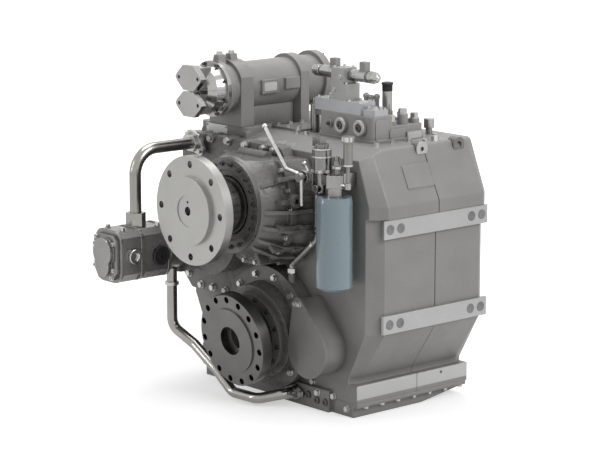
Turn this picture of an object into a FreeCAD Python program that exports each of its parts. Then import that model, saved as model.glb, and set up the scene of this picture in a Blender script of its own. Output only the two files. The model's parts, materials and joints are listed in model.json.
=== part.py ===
import FreeCAD
import Part
import math
import os

# Marine reversing gearbox with a down-angle output shaft, sizes in millimetres.
# Origin: centre of the input flange's bolting face. +Z up, +X to the side that
# carries the oil filter, -Y out of the flange towards the engine.

V = FreeCAD.Vector

# Clearances
RUN_FIT = 0.05
SEAT_FIT = 0.05
FREE_GAP = 0.3

# Input flange
INPUT_R = 170.0
INPUT_T = 32.0
INPUT_PCD = 288.0
INPUT_HOLES = 8
INPUT_HOLE_R = 11.0
INPUT_PILOT_R = 107.0
INPUT_PILOT_H = 13.0
INPUT_RECESS_R = 48.0
INPUT_HUB_R = 90.0
INPUT_HUB_END = 178.0

# Output flange, on the inclined shaft
OUTPUT_FACE_Y = 159.6
OUTPUT_FACE_Z = -434.0
DOWN_ANGLE = 8.31
OUTPUT_R = 150.0
OUTPUT_T = 40.0
OUTPUT_PCD = 269.0
OUTPUT_HOLES = 15
OUTPUT_HOLE_R = 10.5
OUTPUT_PILOT_R = 105.0
OUTPUT_PILOT_H = 5.0
OUTPUT_BORE_R = 46.0
OUTPUT_HUB_R = 86.0
OUTPUT_HUB_L = 88.0

# Casing
FRONT_Y = 349.0
JOINT_Y = 605.0
REAR_Y = 824.0
DECK_Z = 191.0
CREST_X = 391.0
CREASE_X = 470.0
CREASE_Z = 26.0
WALL_X = 455.0
WALL_TOP_Z = -12.0
WALL_LOW_Z = -372.0
WAIST_X = 352.0
WAIST_Z = -528.0
FOOT_X = 380.0
FOOT_Z = -541.0
PAN_TOP_Z = -600.0
BOTTOM_Z = -645.0
WALL_T = 14.0
DECK_T = 30.0
END_WALL_T = 16.0
CORNER = 45.0
FRONT_INSET = 40.0
REAR_CORNER = 26.0
REAR_INSET = 20.0
EDGE_R = 18.0
GROOVE = 2.0
SLOPE_LOW_Z = 163.0
SLOPE_END_Y = 440.0
BLOCK_X0 = -386.0
BLOCK_X1 = -150.0
BLOCK_TOP_Z = 205.0
BLOCK_END_Y = 470.0

# Mounting rails on both sides
RAIL_T = 10.0
RAIL_H = 58.0
RAIL_Z = (-43.0, -339.0)
RAIL_Y0 = 379.0
RAIL_Y1 = 822.0
RAIL_HOLE_R = 10.0
RAIL_HOLE_DEPTH = 34.0
RAIL_BACKING = 16.0
RAIL_HOLE_Y = (405.0, 449.0, 752.0, 797.0)

# Gear train
OUTPUT_TEETH = 47
PINION_TEETH = 26
TRANSFER_TEETH = 36
SHAFT_SPREAD = 6.5
GEAR_Y0 = 640.0
GEAR_Y1 = 715.0
TRANSFER_Y0 = 560.0
TRANSFER_Y1 = 606.0
DRUM_Y0 = 420.0
DRUM_R = 130.0
DRUM_WALL = 12.0
PRESSURE_ANGLE = 20.0
BACKLASH = 0.8
SHAFT_R = 45.0
REVERSE_SHAFT_R = 40.0
OUTPUT_SHAFT_R = 60.0
QUILL_WALL = 15.0
HUB_R = 80.0
SHAFT_END_Y = REAR_Y - 17.0
BEARING_L = 34.0
PLATE_SIDES = 24
PLATE_T = 4.0
PLATE_PITCH = 9.0
PLATES = 5

# Oil pump and its drive
PUMP_X = -330.0
PUMP_Z = -182.0
DRIVE_TEETH = 40
IDLER_TEETH = 32
PUMP_DRIVE_TEETH = 22
DRIVE_MODULE = 6.0
PIN_R = 18.0
DRIVE_Y0 = 268.0
DRIVE_Y1 = 292.0
PUMP_TEETH = 12
PUMP_MODULE = 6.0

# Front housing
NOSE_Y = 145.0
NOSE_R = 150.0
NOSE_BORE_R = 112.0
BEARING_BORE_R = 100.0
NOSE_BOLTS = 20
NOSE_BOLT_R = 131.0
RIB_T = 14.0

PLATE_BOLTS = ((-392.0, 150.0), (-271.0, 162.0), (-186.0, 164.0), (-99.0, 162.0), (-9.0, 161.0),
               (41.0, 160.0))
BOSS_R = 16.0
COVER_BOLTS_X = (-152.0, -102.0, -52.0)
COVER_BOLTS_Y = (487.0, 536.0, 584.0)
COVER_T = 8.0
PLATE_Y = 307.0
PLATE_TOP_Z = 172.0
BELL_TOP_Z = 144.0

# Output housing
OUT_RING_R = 198.0
OUT_RING_Y = 300.0
OUT_NECK_R = 150.0
OUT_COVER_R = 128.0

# Side cover beside the output
SIDE_COVER_X = 245.0
SIDE_COVER_Z = -438.0
SIDE_COVER_R = 88.0
SIDE_COVER_Y = 258.0
LOBE_X = 205.0
LOBE_Z = -300.0
LOBE_R = 24.0

# Suction pipe and the fittings in a row along the foot
SUCTION_X = 112.0
SUCTION_LOBE = 30.0
SUCTION_Z = -606.0
SUCTION_R = 17.0
PRESSURE_R = 19.0
PAD_X0 = 22.0
PAD_X1 = 262.0
PAD_Y = 335.0
PAD_TOP_Z = -576.0
FOOT_PLUGS = ((168.0, -606.0), (209.0, -615.0), (248.0, -615.0))
FOOT_BOLTS = ((213.0, 335.0, -590.0), (272.0, 349.0, -592.0), (174.0, 349.0, -564.0),
              (335.0, 350.0, -621.0))

# Oil cooler
COOLER_X = -250.0
COOLER_Z = 326.0
COOLER_R = 77.0
COOLER_RIM = 13.0
COOLER_Y0 = 300.0
COOLER_Y1 = 715.0
COOLER_CAP_Y = 236.0
PORT_FACE_Y = 194.0
PORT_PITCH = 84.0
PORT_BOLT_PITCH = 94.0
PORT_HOLE_R = 6.0

# Filter group
FILTER_X = 360.0
FILTER_Y = 270.0
FILTER_R = 56.0
FILTER_TOP = 62.0
FILTER_BOTTOM = -224.0
HEAD_Z0 = 91.0
HEAD_Z1 = 129.0
HEAD_X0 = 284.0
HEAD_SIDE = 50.0
HEAD_BOSS_X = 303.0
ROD_X = 414.0

# Control group on the deck
CTRL_X0 = 40.0
CTRL_X1 = 290.0
CTRL_Y0 = 493.0
CTRL_Y1 = 707.0
CTRL_STEP_Y = 565.0
CTRL_TOP = 271.0
CTRL_LOW_TOP = 236.0

SHARP_Z = (WALL_TOP_Z, FOOT_Z, PAN_TOP_Z)
FAR = 3000.0

APEX = V(0, OUTPUT_FACE_Y - OUTPUT_FACE_Z / math.tan(math.radians(DOWN_ANGLE)), 0)

nodes = {}


def cyl(radius, y0, y1, x=0.0, z=0.0):
    """Cylinder along Y."""
    return Part.makeCylinder(radius, y1 - y0, V(x, y0, z), V(0, 1, 0))


def cyl_z(radius, z0, z1, x, y):
    """Cylinder along Z."""
    return Part.makeCylinder(radius, z1 - z0, V(x, y, z0), V(0, 0, 1))


def cyl_x(radius, x0, x1, y, z):
    """Cylinder along X."""
    return Part.makeCylinder(radius, x1 - x0, V(x0, y, z), V(1, 0, 0))


def ring(outer, inner, y0, y1, x=0.0, z=0.0):
    """Ring along Y."""
    return cyl(outer, y0, y1, x, z).cut(cyl(inner, y0 - 1, y1 + 1, x, z))


def block(x0, x1, y0, y1, z0, z1):
    return Part.makeBox(x1 - x0, y1 - y0, z1 - z0, V(x0, y0, z0))


def fuse(first, *others):
    return first.fuse(list(others)).removeSplitter()


def prism(points, y0, y1):
    """Extrude an outline of (x, z) points along Y."""
    corners = [V(x, y0, z) for x, z in points]
    face = Part.Face(Part.makePolygon(corners + corners[:1]))
    return face.extrude(V(0, y1 - y0, 0))


def teardrop(x0, z0, r0, x1, z1, r1, y0, y1):
    """Prism round two circles of different size and their outer tangents."""
    away = V(x1 - x0, 0, z1 - z0)
    base = math.atan2(away.z, away.x)
    lean = math.acos((r0 - r1) / away.Length)
    sides = []
    for turn in (base + lean, base - lean):
        near = (x0 + r0 * math.cos(turn), z0 + r0 * math.sin(turn))
        far = (x1 + r1 * math.cos(turn), z1 + r1 * math.sin(turn))
        sides.append((near, far))
    (near_a, far_a), (near_b, far_b) = sides
    web = prism([near_a, far_a, far_b, near_b], y0, y1)
    return fuse(web, cyl(r0, y0, y1, x0, z0), cyl(r1, y0, y1, x1, z1))


def turned(profile, x=0.0, z=0.0):
    """Turn a closed profile of (radius, y) points about an axis along Y."""
    corners = [V(r, y, 0) for r, y in profile]
    face = Part.Face(Part.makePolygon(corners + corners[:1]))
    solid = face.revolve(V(0, 0, 0), V(0, 1, 0), 360)
    solid.translate(V(x, 0, z))
    return solid


def hexagon(across, length, base, direction):
    """Hexagon head or nut standing on base, pointing along direction."""
    radius = across / math.sqrt(3)
    corners = [V(radius * math.cos(math.radians(a)), radius * math.sin(math.radians(a)), 0)
               for a in range(0, 360, 60)]
    solid = Part.Face(Part.makePolygon(corners + corners[:1])).extrude(V(0, 0, length))
    solid.Placement = FreeCAD.Placement(base, FreeCAD.Rotation(V(0, 0, 1), direction))
    return solid


def on_circle(count, radius, start=0.0):
    """Points (x, z) on a circle."""
    step = 2 * math.pi / count
    angles = [math.radians(start) + i * step for i in range(count)]
    return [(radius * math.cos(a), radius * math.sin(a)) for a in angles]


def pipe(points, radius, bend):
    """Round bar or pipe: straight runs joined by tangent bends."""
    pieces = []
    start = points[0]
    for i in range(1, len(points) - 1):
        into = (points[i] - points[i - 1]).normalize()
        out = (points[i + 1] - points[i]).normalize()
        turn = into.getAngle(out)
        reach = bend * math.tan(turn / 2)
        arc_in = points[i] - into * reach
        pieces.append(Part.makeCylinder(radius, (arc_in - start).Length, start, into))
        axis = into.cross(out).normalize()
        centre = arc_in + axis.cross(into) * bend
        section = Part.Face(Part.Wire(Part.makeCircle(radius, arc_in, into)))
        pieces.append(section.revolve(centre, axis, math.degrees(turn)))
        start = points[i] + out * reach
    pieces.append(Part.makeCylinder(radius, (points[-1] - start).Length, start,
                                    points[-1] - start))
    return pieces[0].fuse(pieces[1:]).removeSplitter() if len(pieces) > 1 else pieces[0]


def shaft_frame(direction):
    """Placement that swings the Y axis about the common apex onto a shaft."""
    rotation = FreeCAD.Rotation(V(0, -1, 0), direction)
    return FreeCAD.Placement(V(0, 0, 0), rotation, APEX)


def shaft_directions():
    """Unit vectors from the common apex towards the front ends of the three shafts."""
    down = math.radians(DOWN_ANGLE)
    spread = math.radians(SHAFT_SPREAD)
    ratio = math.cos(down) * (1 - math.cos(spread)) / (math.sin(down) * math.sin(spread))
    side = math.asin(ratio)
    reverse = V(math.sin(spread) * math.cos(side), -math.cos(spread), -math.sin(spread) * ratio)
    return V(0, -1, 0), reverse, V(0, -math.cos(down), -math.sin(down))


INPUT_DIR, REVERSE_DIR, OUTPUT_DIR = shaft_directions()
INPUT_FRAME = shaft_frame(INPUT_DIR)
REVERSE_FRAME = shaft_frame(REVERSE_DIR)
OUTPUT_FRAME = shaft_frame(OUTPUT_DIR)
# The output flange's face, measured along the inclined shaft from the same zero
OUTPUT_FACE = APEX.y - (APEX.y - OUTPUT_FACE_Y) / math.cos(math.radians(DOWN_ANGLE))


def seat(shape, frame):
    """Copy of a shape modelled along Y, placed on its shaft."""
    placed = shape.copy()
    placed.Placement = frame.multiply(placed.Placement)
    return placed


def towards(frame, direction):
    """Angle, seen along a shaft's own axis, at which another shaft lies."""
    local = frame.Rotation.inverted().multVec(direction)
    return math.atan2(local.z, local.x)


def tooth_outline(teeth, pitch_r, phase, y):
    """Closed outline of a spur gear with involute flanks, at height y on its axis."""
    module = 2 * pitch_r / teeth
    alpha = math.radians(PRESSURE_ANGLE)
    base_r = pitch_r * math.cos(alpha)
    involute = math.tan(alpha) - alpha
    half = math.pi / (2 * teeth) + involute - BACKLASH / (2 * pitch_r)

    def half_angle(radius):
        if radius <= base_r:
            return half
        a = math.acos(base_r / radius)
        return half - (math.tan(a) - a)

    flank = (pitch_r - 1.25 * module, pitch_r, pitch_r + module)
    points = []
    for i in range(teeth):
        centre = phase + 2 * math.pi * i / teeth
        rising = [(r, centre - half_angle(r)) for r in flank]
        falling = [(r, centre + half_angle(r)) for r in reversed(flank)]
        points += [V(r * math.cos(a), y, r * math.sin(a)) for r, a in rising + falling]
    return Part.makePolygon(points + points[:1])


def spur_gear(teeth, module, y0, y1, phase):
    face = Part.Face(tooth_outline(teeth, module * teeth / 2, phase, y0))
    return face.extrude(V(0, y1 - y0, 0))


def cone_gear(teeth, cone, y0, y1, phase):
    """Gear blank with teeth that all point at the common apex."""
    outlines = [tooth_outline(teeth, (APEX.y - y) * math.tan(cone), phase, y) for y in (y0, y1)]
    return Part.makeLoft(outlines, True, True)


def plate_ring(outer, inner, y, thickness):
    """Splined clutch plate, drawn as a ring with flats."""
    sides = []
    for radius in (outer, inner):
        points = [V(px, y, pz) for px, pz in on_circle(PLATE_SIDES, radius)]
        sides.append(Part.Face(Part.makePolygon(points + points[:1])))
    return sides[0].cut(sides[1]).extrude(V(0, thickness, 0))


# Pitch cones: every gear touches its mate along a line through the apex
down = math.radians(DOWN_ANGLE)
PINION_CONE = math.atan(math.sin(down) / (OUTPUT_TEETH / PINION_TEETH + math.cos(down)))
OUTPUT_CONE = down - PINION_CONE
TRANSFER_CONE = math.radians(SHAFT_SPREAD) / 2


def on_output_axis(y):
    """Distance along the output shaft that meets the pinion's section at y."""
    return APEX.y - (APEX.y - y) * math.cos(OUTPUT_CONE) / math.cos(PINION_CONE)


def drive_points():
    """Centres (x, z) of the pump drive's idler and of the pump shaft."""
    first = DRIVE_MODULE * (DRIVE_TEETH + IDLER_TEETH) / 2
    reach = DRIVE_MODULE * (DRIVE_TEETH + 2 * IDLER_TEETH + PUMP_DRIVE_TEETH) / 2
    angle = math.atan2(PUMP_Z, PUMP_X)
    idler = (first * math.cos(angle), first * math.sin(angle))
    pump = (reach * math.cos(angle), reach * math.sin(angle))
    return idler, pump, angle


IDLER, PUMP, DRIVE_ANGLE = drive_points()


def casing_outline(inset):
    """Half outline of the casing, from the deck down to the foot."""
    return [(CREST_X - inset / 2, DECK_Z), (CREASE_X - inset, CREASE_Z),
            (CREASE_X - inset, WALL_TOP_Z), (WALL_X - inset, WALL_TOP_Z),
            (WALL_X - inset, WALL_LOW_Z), (WAIST_X - inset / 3, WAIST_Z),
            (WAIST_X - inset / 3, FOOT_Z), (FOOT_X, FOOT_Z), (FOOT_X, PAN_TOP_Z)]


def full_outline(half):
    return half + [(-x, z) for x, z in reversed(half)]


def outline_wire(points, y, radius=EDGE_R):
    """Closed wire through the points of an (x, z) outline, its corners rounded."""
    corners = [V(x, y, z) for x, z in points]
    edges = []
    ends = []
    for i, corner in enumerate(corners):
        if corner.z in SHARP_Z:
            ends.append((corner, None, corner))
            continue
        before = corners[i - 1] - corner
        after = corners[(i + 1) % len(corners)] - corner
        half = before.getAngle(after) / 2
        reach = min(radius / math.tan(half), 0.4 * before.Length, 0.4 * after.Length)
        bend = reach * math.tan(half)
        middle = (before.normalize() + after.normalize()).normalize()
        centre = corner + middle * (bend / math.sin(half))
        ends.append((corner + before * reach, centre - middle * bend, corner + after * reach))
    for i, (start, middle, end) in enumerate(ends):
        if middle:
            edges.append(Part.Arc(start, middle, end).toShape())
        edges.append(Part.LineSegment(end, ends[(i + 1) % len(ends)][0]).toShape())
    return Part.Wire(edges)


def outline_prism(points, y0, y1, radius=EDGE_R):
    return Part.Face(outline_wire(points, y0, radius)).extrude(V(0, y1 - y0, 0))


def cavity_outline(inset):
    """Inside of the casing walls, as a half outline."""
    slope = WALL_T * 1.1
    return [(CREST_X - inset / 2 - slope, DECK_Z - DECK_T),
            (CREASE_X - inset - slope, CREASE_Z),
            (WALL_X - inset - WALL_T, WALL_TOP_Z - WALL_T),
            (WALL_X - inset - WALL_T, WALL_LOW_Z + WALL_T / 2),
            (WAIST_X - inset / 3 - slope, WAIST_Z),
            (WAIST_X - inset / 3 - slope, PAN_TOP_Z)]


def shaft_holes():
    """Bearing seats through the end walls, one for each shaft."""
    rear0 = REAR_Y - END_WALL_T - 40
    return [cyl(BEARING_BORE_R, FRONT_Y - 1, FRONT_Y + END_WALL_T + 1),
            cyl(PIN_R + SEAT_FIT, FRONT_Y - 1, FRONT_Y + END_WALL_T + 1, *IDLER),
            seat(cyl(78, FRONT_Y + 3, FRONT_Y + 60), REVERSE_FRAME),
            seat(cyl(BEARING_BORE_R, FRONT_Y - 60, FRONT_Y + 60), OUTPUT_FRAME),
            seat(cyl(85, rear0, REAR_Y + 9), INPUT_FRAME),
            seat(cyl(78, rear0 - 14, REAR_Y + 9), REVERSE_FRAME),
            seat(cyl(100, rear0 - 40, REAR_Y + 9), OUTPUT_FRAME)]


def rail_backing(shell):
    """Thicken the side walls behind the rails and sink the blind bolt holes."""
    inside = WALL_X - WALL_T - RAIL_BACKING
    depth = RAIL_HOLE_DEPTH - RAIL_T
    for side in (-1, 1):
        for z in RAIL_Z:
            x0 = inside if side > 0 else -WALL_X + WALL_T - 1
            shell = shell.fuse(block(x0, x0 + RAIL_BACKING + 1, FRONT_Y + CORNER, REAR_Y - END_WALL_T,
                                     z - RAIL_H / 2, z + RAIL_H / 2))
            for y in RAIL_HOLE_Y:
                x0 = WALL_X - depth if side > 0 else -WALL_X - 1
                shell = shell.cut(cyl_x(RAIL_HOLE_R, x0, x0 + depth + 1, y, z))
    return shell


def deck_front(shell):
    """Slope the deck's front edge, with bolt bosses running into it and a raised block."""
    wedge = [V(BLOCK_X1, FRONT_Y - 1, SLOPE_LOW_Z), V(BLOCK_X1, FRONT_Y - 1, DECK_Z + 1),
             V(BLOCK_X1, SLOPE_END_Y, DECK_Z + 1), V(BLOCK_X1, SLOPE_END_Y, DECK_Z)]
    wedge = Part.Face(Part.makePolygon(wedge + wedge[:1])).extrude(V(CREST_X + 40 - BLOCK_X1, 0, 0))
    shell = shell.cut(wedge)
    bosses = [cyl(BOSS_R, FRONT_Y, SLOPE_END_Y, x, z) for x, z in PLATE_BOLTS[1:]]
    raised = block(BLOCK_X0, BLOCK_X1, FRONT_Y, BLOCK_END_Y, SLOPE_LOW_Z, BLOCK_TOP_Z)
    upright = [e for e in raised.Edges if abs(e.tangentAt(e.FirstParameter).z) > 0.9]
    cover = block(COVER_BOLTS_X[0] - 14, COVER_BOLTS_X[-1] + 14, COVER_BOLTS_Y[0] - 14,
                  JOINT_Y - 6, DECK_Z - 4, DECK_Z + COVER_T)
    return shell.fuse([raised.makeFillet(24, upright), cover] + bosses)


def deck_bolts():
    """Bolts of the deck's inspection cover."""
    points = [(x, y) for x in COVER_BOLTS_X for y in COVER_BOLTS_Y]
    return [hexagon(14, 9, V(x, y, DECK_Z + COVER_T), V(0, 0, 1)) for x, y in points]


def roof_details(shell):
    """Raised panel and parting groove on the right and left shoulders."""
    down_slope = V(CREASE_X - CREST_X, 0, CREASE_Z - DECK_Z).normalize()
    outward = V(-down_slope.z, 0, down_slope.x)
    crest = V(CREST_X, 0, DECK_Z)
    for side in (-1, 1):
        points = [crest + down_slope * t + V(0, y, 0) - outward * 4
                  for t, y in ((60, 492), (135, 492), (135, JOINT_Y), (60, JOINT_Y))]
        panel = Part.Face(Part.makePolygon(points + points[:1])).extrude(outward * 7)
        if side < 0:
            panel = panel.mirror(V(0, 0, 0), V(1, 0, 0))
        shell = shell.fuse(panel)
    return shell


def casing_halves():
    """Front and rear casing, split at the vertical joint."""
    full = full_outline(casing_outline(0))
    front = Part.makeLoft([outline_wire(full_outline(casing_outline(FRONT_INSET)), FRONT_Y),
                           outline_wire(full, FRONT_Y + CORNER)], True, True)
    rear = Part.makeLoft([outline_wire(full, REAR_Y - REAR_CORNER),
                          outline_wire(full_outline(casing_outline(REAR_INSET)), REAR_Y)],
                         True, True)
    body = outline_prism(full, FRONT_Y + CORNER, REAR_Y - REAR_CORNER)
    hollow = prism(full_outline(cavity_outline(0)), FRONT_Y + CORNER, REAR_Y - REAR_CORNER)
    nose = prism(full_outline(cavity_outline(FRONT_INSET)), FRONT_Y + END_WALL_T,
                 FRONT_Y + CORNER + 1)
    tail = prism(full_outline(cavity_outline(REAR_INSET)), REAR_Y - REAR_CORNER - 1,
                 REAR_Y - END_WALL_T)
    shell = roof_details(deck_front(front.fuse([body, rear]))).cut(hollow.fuse([nose, tail]))
    bosses = [seat(cyl(96, FRONT_Y + 6, FRONT_Y + 52), REVERSE_FRAME),
              seat(cyl(104, REAR_Y - 56, REAR_Y - 8), INPUT_FRAME),
              seat(cyl(96, REAR_Y - 70, REAR_Y - 6), REVERSE_FRAME),
              seat(cyl(118, REAR_Y - 96, REAR_Y - 42), OUTPUT_FRAME)]
    shell = shell.fuse(bosses)
    for hole in shaft_holes():
        shell = shell.cut(hole)
    shell = shell.cut(block(-FAR, FAR, 0, FAR, -FAR, PAN_TOP_Z))
    shell = shell.cut(block(-FAR, FAR, REAR_Y, FAR, -FAR, FAR))
    shell = shell.cut(block(-FAR, FAR, 0, FRONT_Y, -FAR, FAR))
    shell = rail_backing(shell)
    shell = shell.cut(casing_skin(JOINT_Y - GROOVE, JOINT_Y, GROOVE * 1.5))
    cutter = block(-FAR, FAR, 0, JOINT_Y, -FAR, FAR)
    nodes["front_casing"] = shell.common(cutter).removeSplitter()
    nodes["rear_casing"] = shell.cut(cutter).removeSplitter()


def casing_skin(y0, y1, depth):
    """Thin layer just under the casing's outer surface, down to the rails."""
    inner = [(x - math.copysign(depth, x), z - depth) for x, z in full_outline(casing_outline(0))]
    skin = outline_prism(full_outline(casing_outline(0)), y0, y1)
    return skin.fuse(outline_prism(full_outline(casing_outline(-12)), y0, y1)).cut(
        outline_prism(inner, y0 - 1, y1 + 1))


def sump_pan():
    """Shallow pan under the foot, with its rear end drawn up."""
    length = REAR_Y - FRONT_Y - 6
    y0 = FRONT_Y + 1
    bend_y = 640.0
    lip = 12.0
    half = FOOT_X - 18
    side = [V(-half, y0, PAN_TOP_Z - lip), V(-half, y0, BOTTOM_Z), V(-half, bend_y, BOTTOM_Z),
            V(-half, y0 + length, PAN_TOP_Z - lip - 6), V(-half, y0 + length, PAN_TOP_Z - lip)]
    body = Part.Face(Part.makePolygon(side + side[:1])).extrude(V(2 * half, 0, 0))
    flange = block(-FOOT_X, FOOT_X, y0, y0 + length, PAN_TOP_Z - lip, PAN_TOP_Z)
    floor = 8.0
    inner = [V(-half + floor, y0 + floor, PAN_TOP_Z + 1),
             V(-half + floor, y0 + floor, BOTTOM_Z + floor),
             V(-half + floor, bend_y, BOTTOM_Z + floor),
             V(-half + floor, y0 + length - 20, PAN_TOP_Z - lip + 2),
             V(-half + floor, y0 + length - 20, PAN_TOP_Z + 1)]
    trough = Part.Face(Part.makePolygon(inner + inner[:1])).extrude(V(2 * (half - floor), 0, 0))
    pad = block(PAD_X0, PAD_X1, PAD_Y, FRONT_Y, BOTTOM_Z, PAD_TOP_Z).fuse(
        block(PAD_X0, PAD_X1, FRONT_Y - 1, y0 + 4, BOTTOM_Z, PAN_TOP_Z - 1))
    pad = pad.cut(seat(cyl(OUT_RING_R + FREE_GAP, 0, FAR), OUTPUT_FRAME))
    nodes["sump_pan"] = fuse(body, flange, pad).cut(trough)
    heads = []
    for i in range(7):
        y = y0 + 45 + i * 68
        for x in (-FOOT_X + 9, FOOT_X - 9):
            heads.append(hexagon(13, 8, V(x, y, PAN_TOP_Z - lip), V(0, 0, -1)))
    return heads


def rails():
    """Machined pads with tapped holes, where the gearbox is bolted to its brackets."""
    parts = []
    for side in (-1, 1):
        for z in RAIL_Z:
            x0 = WALL_X if side > 0 else -WALL_X - RAIL_T
            rail = block(x0, x0 + RAIL_T, RAIL_Y0, RAIL_Y1, z - RAIL_H / 2, z + RAIL_H / 2)
            for y in RAIL_HOLE_Y:
                rail = rail.cut(cyl_x(RAIL_HOLE_R, x0 - 1, x0 + RAIL_T + 1, y, z))
            parts.append(rail)
    nodes["mounting_rails"] = Part.makeCompound(parts)


def front_housing():
    """Bell round the input shaft with the pump drive case cast on its left side."""
    bell = turned([(0, NOSE_Y + 14), (NOSE_R, NOSE_Y + 14), (158, 178), (182, 240), (199, 240),
                   (199, 262), (190, 268), (212, 331), (212, FRONT_Y), (0, FRONT_Y)])
    bell = bell.cut(block(-240, 240, NOSE_Y + 24, FRONT_Y, BELL_TOP_Z, 300))
    case = cyl(148, 232, FRONT_Y, IDLER[0] - 22, IDLER[1] - 12)
    pump_case = cyl(90, 208, FRONT_Y, PUMP[0], PUMP[1])
    plate = outline_prism([(-425, -300), (-380, -345), (-120, -345), (-60, -260), (104, 120),
                           (66, PLATE_TOP_Z), (-400, PLATE_TOP_Z), (-425, 120)],
                          PLATE_Y, FRONT_Y, 16)
    outlet = cyl(34, 292, FRONT_Y, PUMP_X, 143)
    bosses = [cyl(BOSS_R, PLATE_Y - 5, FRONT_Y, px, pz) for px, pz in PLATE_BOLTS]
    sensor_boss = cyl_x(17, -70, 58, 262, BELL_TOP_Z + 2)
    hole_boss = cyl_x(20, 150, 212, 251, 28)
    solid = bell.fuse([case, pump_case, plate, outlet, sensor_boss, hole_boss] + bosses)
    for angle in (-28, -8, 16, 40, 64):
        rib = block(-RIB_T / 2, RIB_T / 2, 200, FRONT_Y, 150, 205)
        rib = rib.fuse(block(-RIB_T / 2, RIB_T / 2, 275, FRONT_Y, 204, 214))
        rib.rotate(V(0, 0, 0), V(0, 1, 0), 90 + angle)
        solid = solid.fuse(rib)
    solid = solid.cut(cyl(BEARING_BORE_R, 0, FAR))
    solid = solid.cut(cyl(NOSE_BORE_R, 0, NOSE_Y + 28))
    solid = solid.cut(cyl(128, 260, FAR))
    solid = solid.cut(cyl(106, 260, FRONT_Y + 1, *IDLER))
    solid = solid.cut(cyl(76, 260, FRONT_Y + 1, *PUMP))
    solid = solid.cut(cyl(20, 0, FAR, *PUMP))
    solid = solid.cut(seat(cyl(OUT_RING_R + 1, 0, FAR), OUTPUT_FRAME))
    solid = solid.cut(cyl_x(9, 190, 220, 251, 28))
    nodes["front_housing"] = solid.removeSplitter()
    cover = ring(NOSE_R, INPUT_HUB_R + 3, NOSE_Y, NOSE_Y + 14)
    nodes["input_bearing_cover"] = cover.cut(cyl(NOSE_BORE_R, 0, NOSE_Y + 8))
    heads = [hexagon(12, 7, V(x, NOSE_Y, z), V(0, -1, 0))
             for x, z in on_circle(NOSE_BOLTS, NOSE_BOLT_R, 9)]
    return heads


def front_bolts():
    """Bolts of the front housing's rims."""
    heads = []
    for x, z in PLATE_BOLTS:
        heads.append(hexagon(19, 12, V(x, PLATE_Y - 5, z), V(0, -1, 0)))
    for x, z in ((-392, -300), (-330, -329), (-270, -329), (-205, -329)):
        heads.append(hexagon(19, 12, V(x, PLATE_Y, z), V(0, -1, 0)))
    for angle in (-98, -82, -56, -47, -28, 0, 18, 38):
        x = 191 * math.cos(math.radians(angle))
        z = 191 * math.sin(math.radians(angle))
        heads.append(hexagon(14, 10, V(x, 240, z), V(0, -1, 0)))
    return heads


def output_side():
    """Inclined housing of the output shaft, its cover, and the cover beside it."""
    along = OUTPUT_FACE
    neck = seat(cyl(OUT_NECK_R, along + 108, along + 240), OUTPUT_FRAME)
    rim = seat(cyl(OUT_RING_R, along + 100, along + 260), OUTPUT_FRAME)
    slab = block(-300, 300, OUT_RING_Y, FRONT_Y, -700, 0)
    neck = neck.common(block(-300, 300, 0, FRONT_Y, -FAR, 0))
    body = neck.fuse(rim.common(slab))
    union = cyl_z(12, -262, -226, 108, 318)
    body = body.fuse(union)
    body = body.cut(seat(cyl(BEARING_BORE_R, 0, FAR), OUTPUT_FRAME))
    body = body.cut(teardrop(SIDE_COVER_X, SIDE_COVER_Z, SIDE_COVER_R + FREE_GAP, LOBE_X, LOBE_Z,
                             LOBE_R + FREE_GAP, 0, FAR))
    body = body.cut(block(-300, 300, 0, FAR, -700, PAN_TOP_Z + 2))
    nodes["output_housing"] = body.removeSplitter()
    cover = ring(OUT_COVER_R, OUTPUT_HUB_R + 3, along + 92, along + 108)
    nodes["output_bearing_cover"] = seat(cover, OUTPUT_FRAME)
    heads = []
    for x, z in on_circle(12, 116, 15):
        head = hexagon(12, 8, V(x, along + 92, z), V(0, -1, 0))
        heads.append(seat(head, OUTPUT_FRAME))
    for x, z in on_circle(12, 174, 15):
        if z < -150:
            continue
        head = hexagon(17, 11, V(x, 0, z + OUTPUT_FACE_Z + 21), V(0, -1, 0))
        head.translate(V(0, OUT_RING_Y, 0))
        if math.hypot(x - SIDE_COVER_X, z + OUTPUT_FACE_Z + 21 - SIDE_COVER_Z) > 112:
            heads.append(head)
    lid = teardrop(SIDE_COVER_X, SIDE_COVER_Z, SIDE_COVER_R, LOBE_X, LOBE_Z, LOBE_R,
                   SIDE_COVER_Y, SIDE_COVER_Y + 10)
    lid = lid.fuse(teardrop(SIDE_COVER_X, SIDE_COVER_Z, SIDE_COVER_R - 4, LOBE_X, LOBE_Z,
                            LOBE_R - 4, SIDE_COVER_Y + 9, FRONT_Y))
    lid = lid.removeSplitter()
    nodes["side_cover"] = lid.cut(cyl(SIDE_COVER_R - 16, SIDE_COVER_Y + 16, FAR, SIDE_COVER_X,
                                      SIDE_COVER_Z))
    for x, z in ((LOBE_X + 9, LOBE_Z + 3), (LOBE_X - 12, LOBE_Z + 2)):
        heads.append(hexagon(13, 9, V(x, SIDE_COVER_Y, z), V(0, -1, 0)))
    for x, y, z in FOOT_BOLTS:
        heads.append(hexagon(17, 10, V(x, y, z), V(0, -1, 0)))
    for sign in (-1, 1):
        heads.append(hexagon(16, 10, V(SUCTION_X + sign * SUCTION_LOBE, PAD_Y - 10, SUCTION_Z),
                             V(0, -1, 0)))
    return heads


def axis_point(direction, y):
    """Where (x, z) a shaft's axis crosses the plane at y."""
    point = APEX + direction * ((y - APEX.y) / direction.y)
    return point.x, point.z


REAR_COVERS = ((INPUT_DIR, 106.0), (REVERSE_DIR, 98.0), (OUTPUT_DIR, 124.0))


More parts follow.
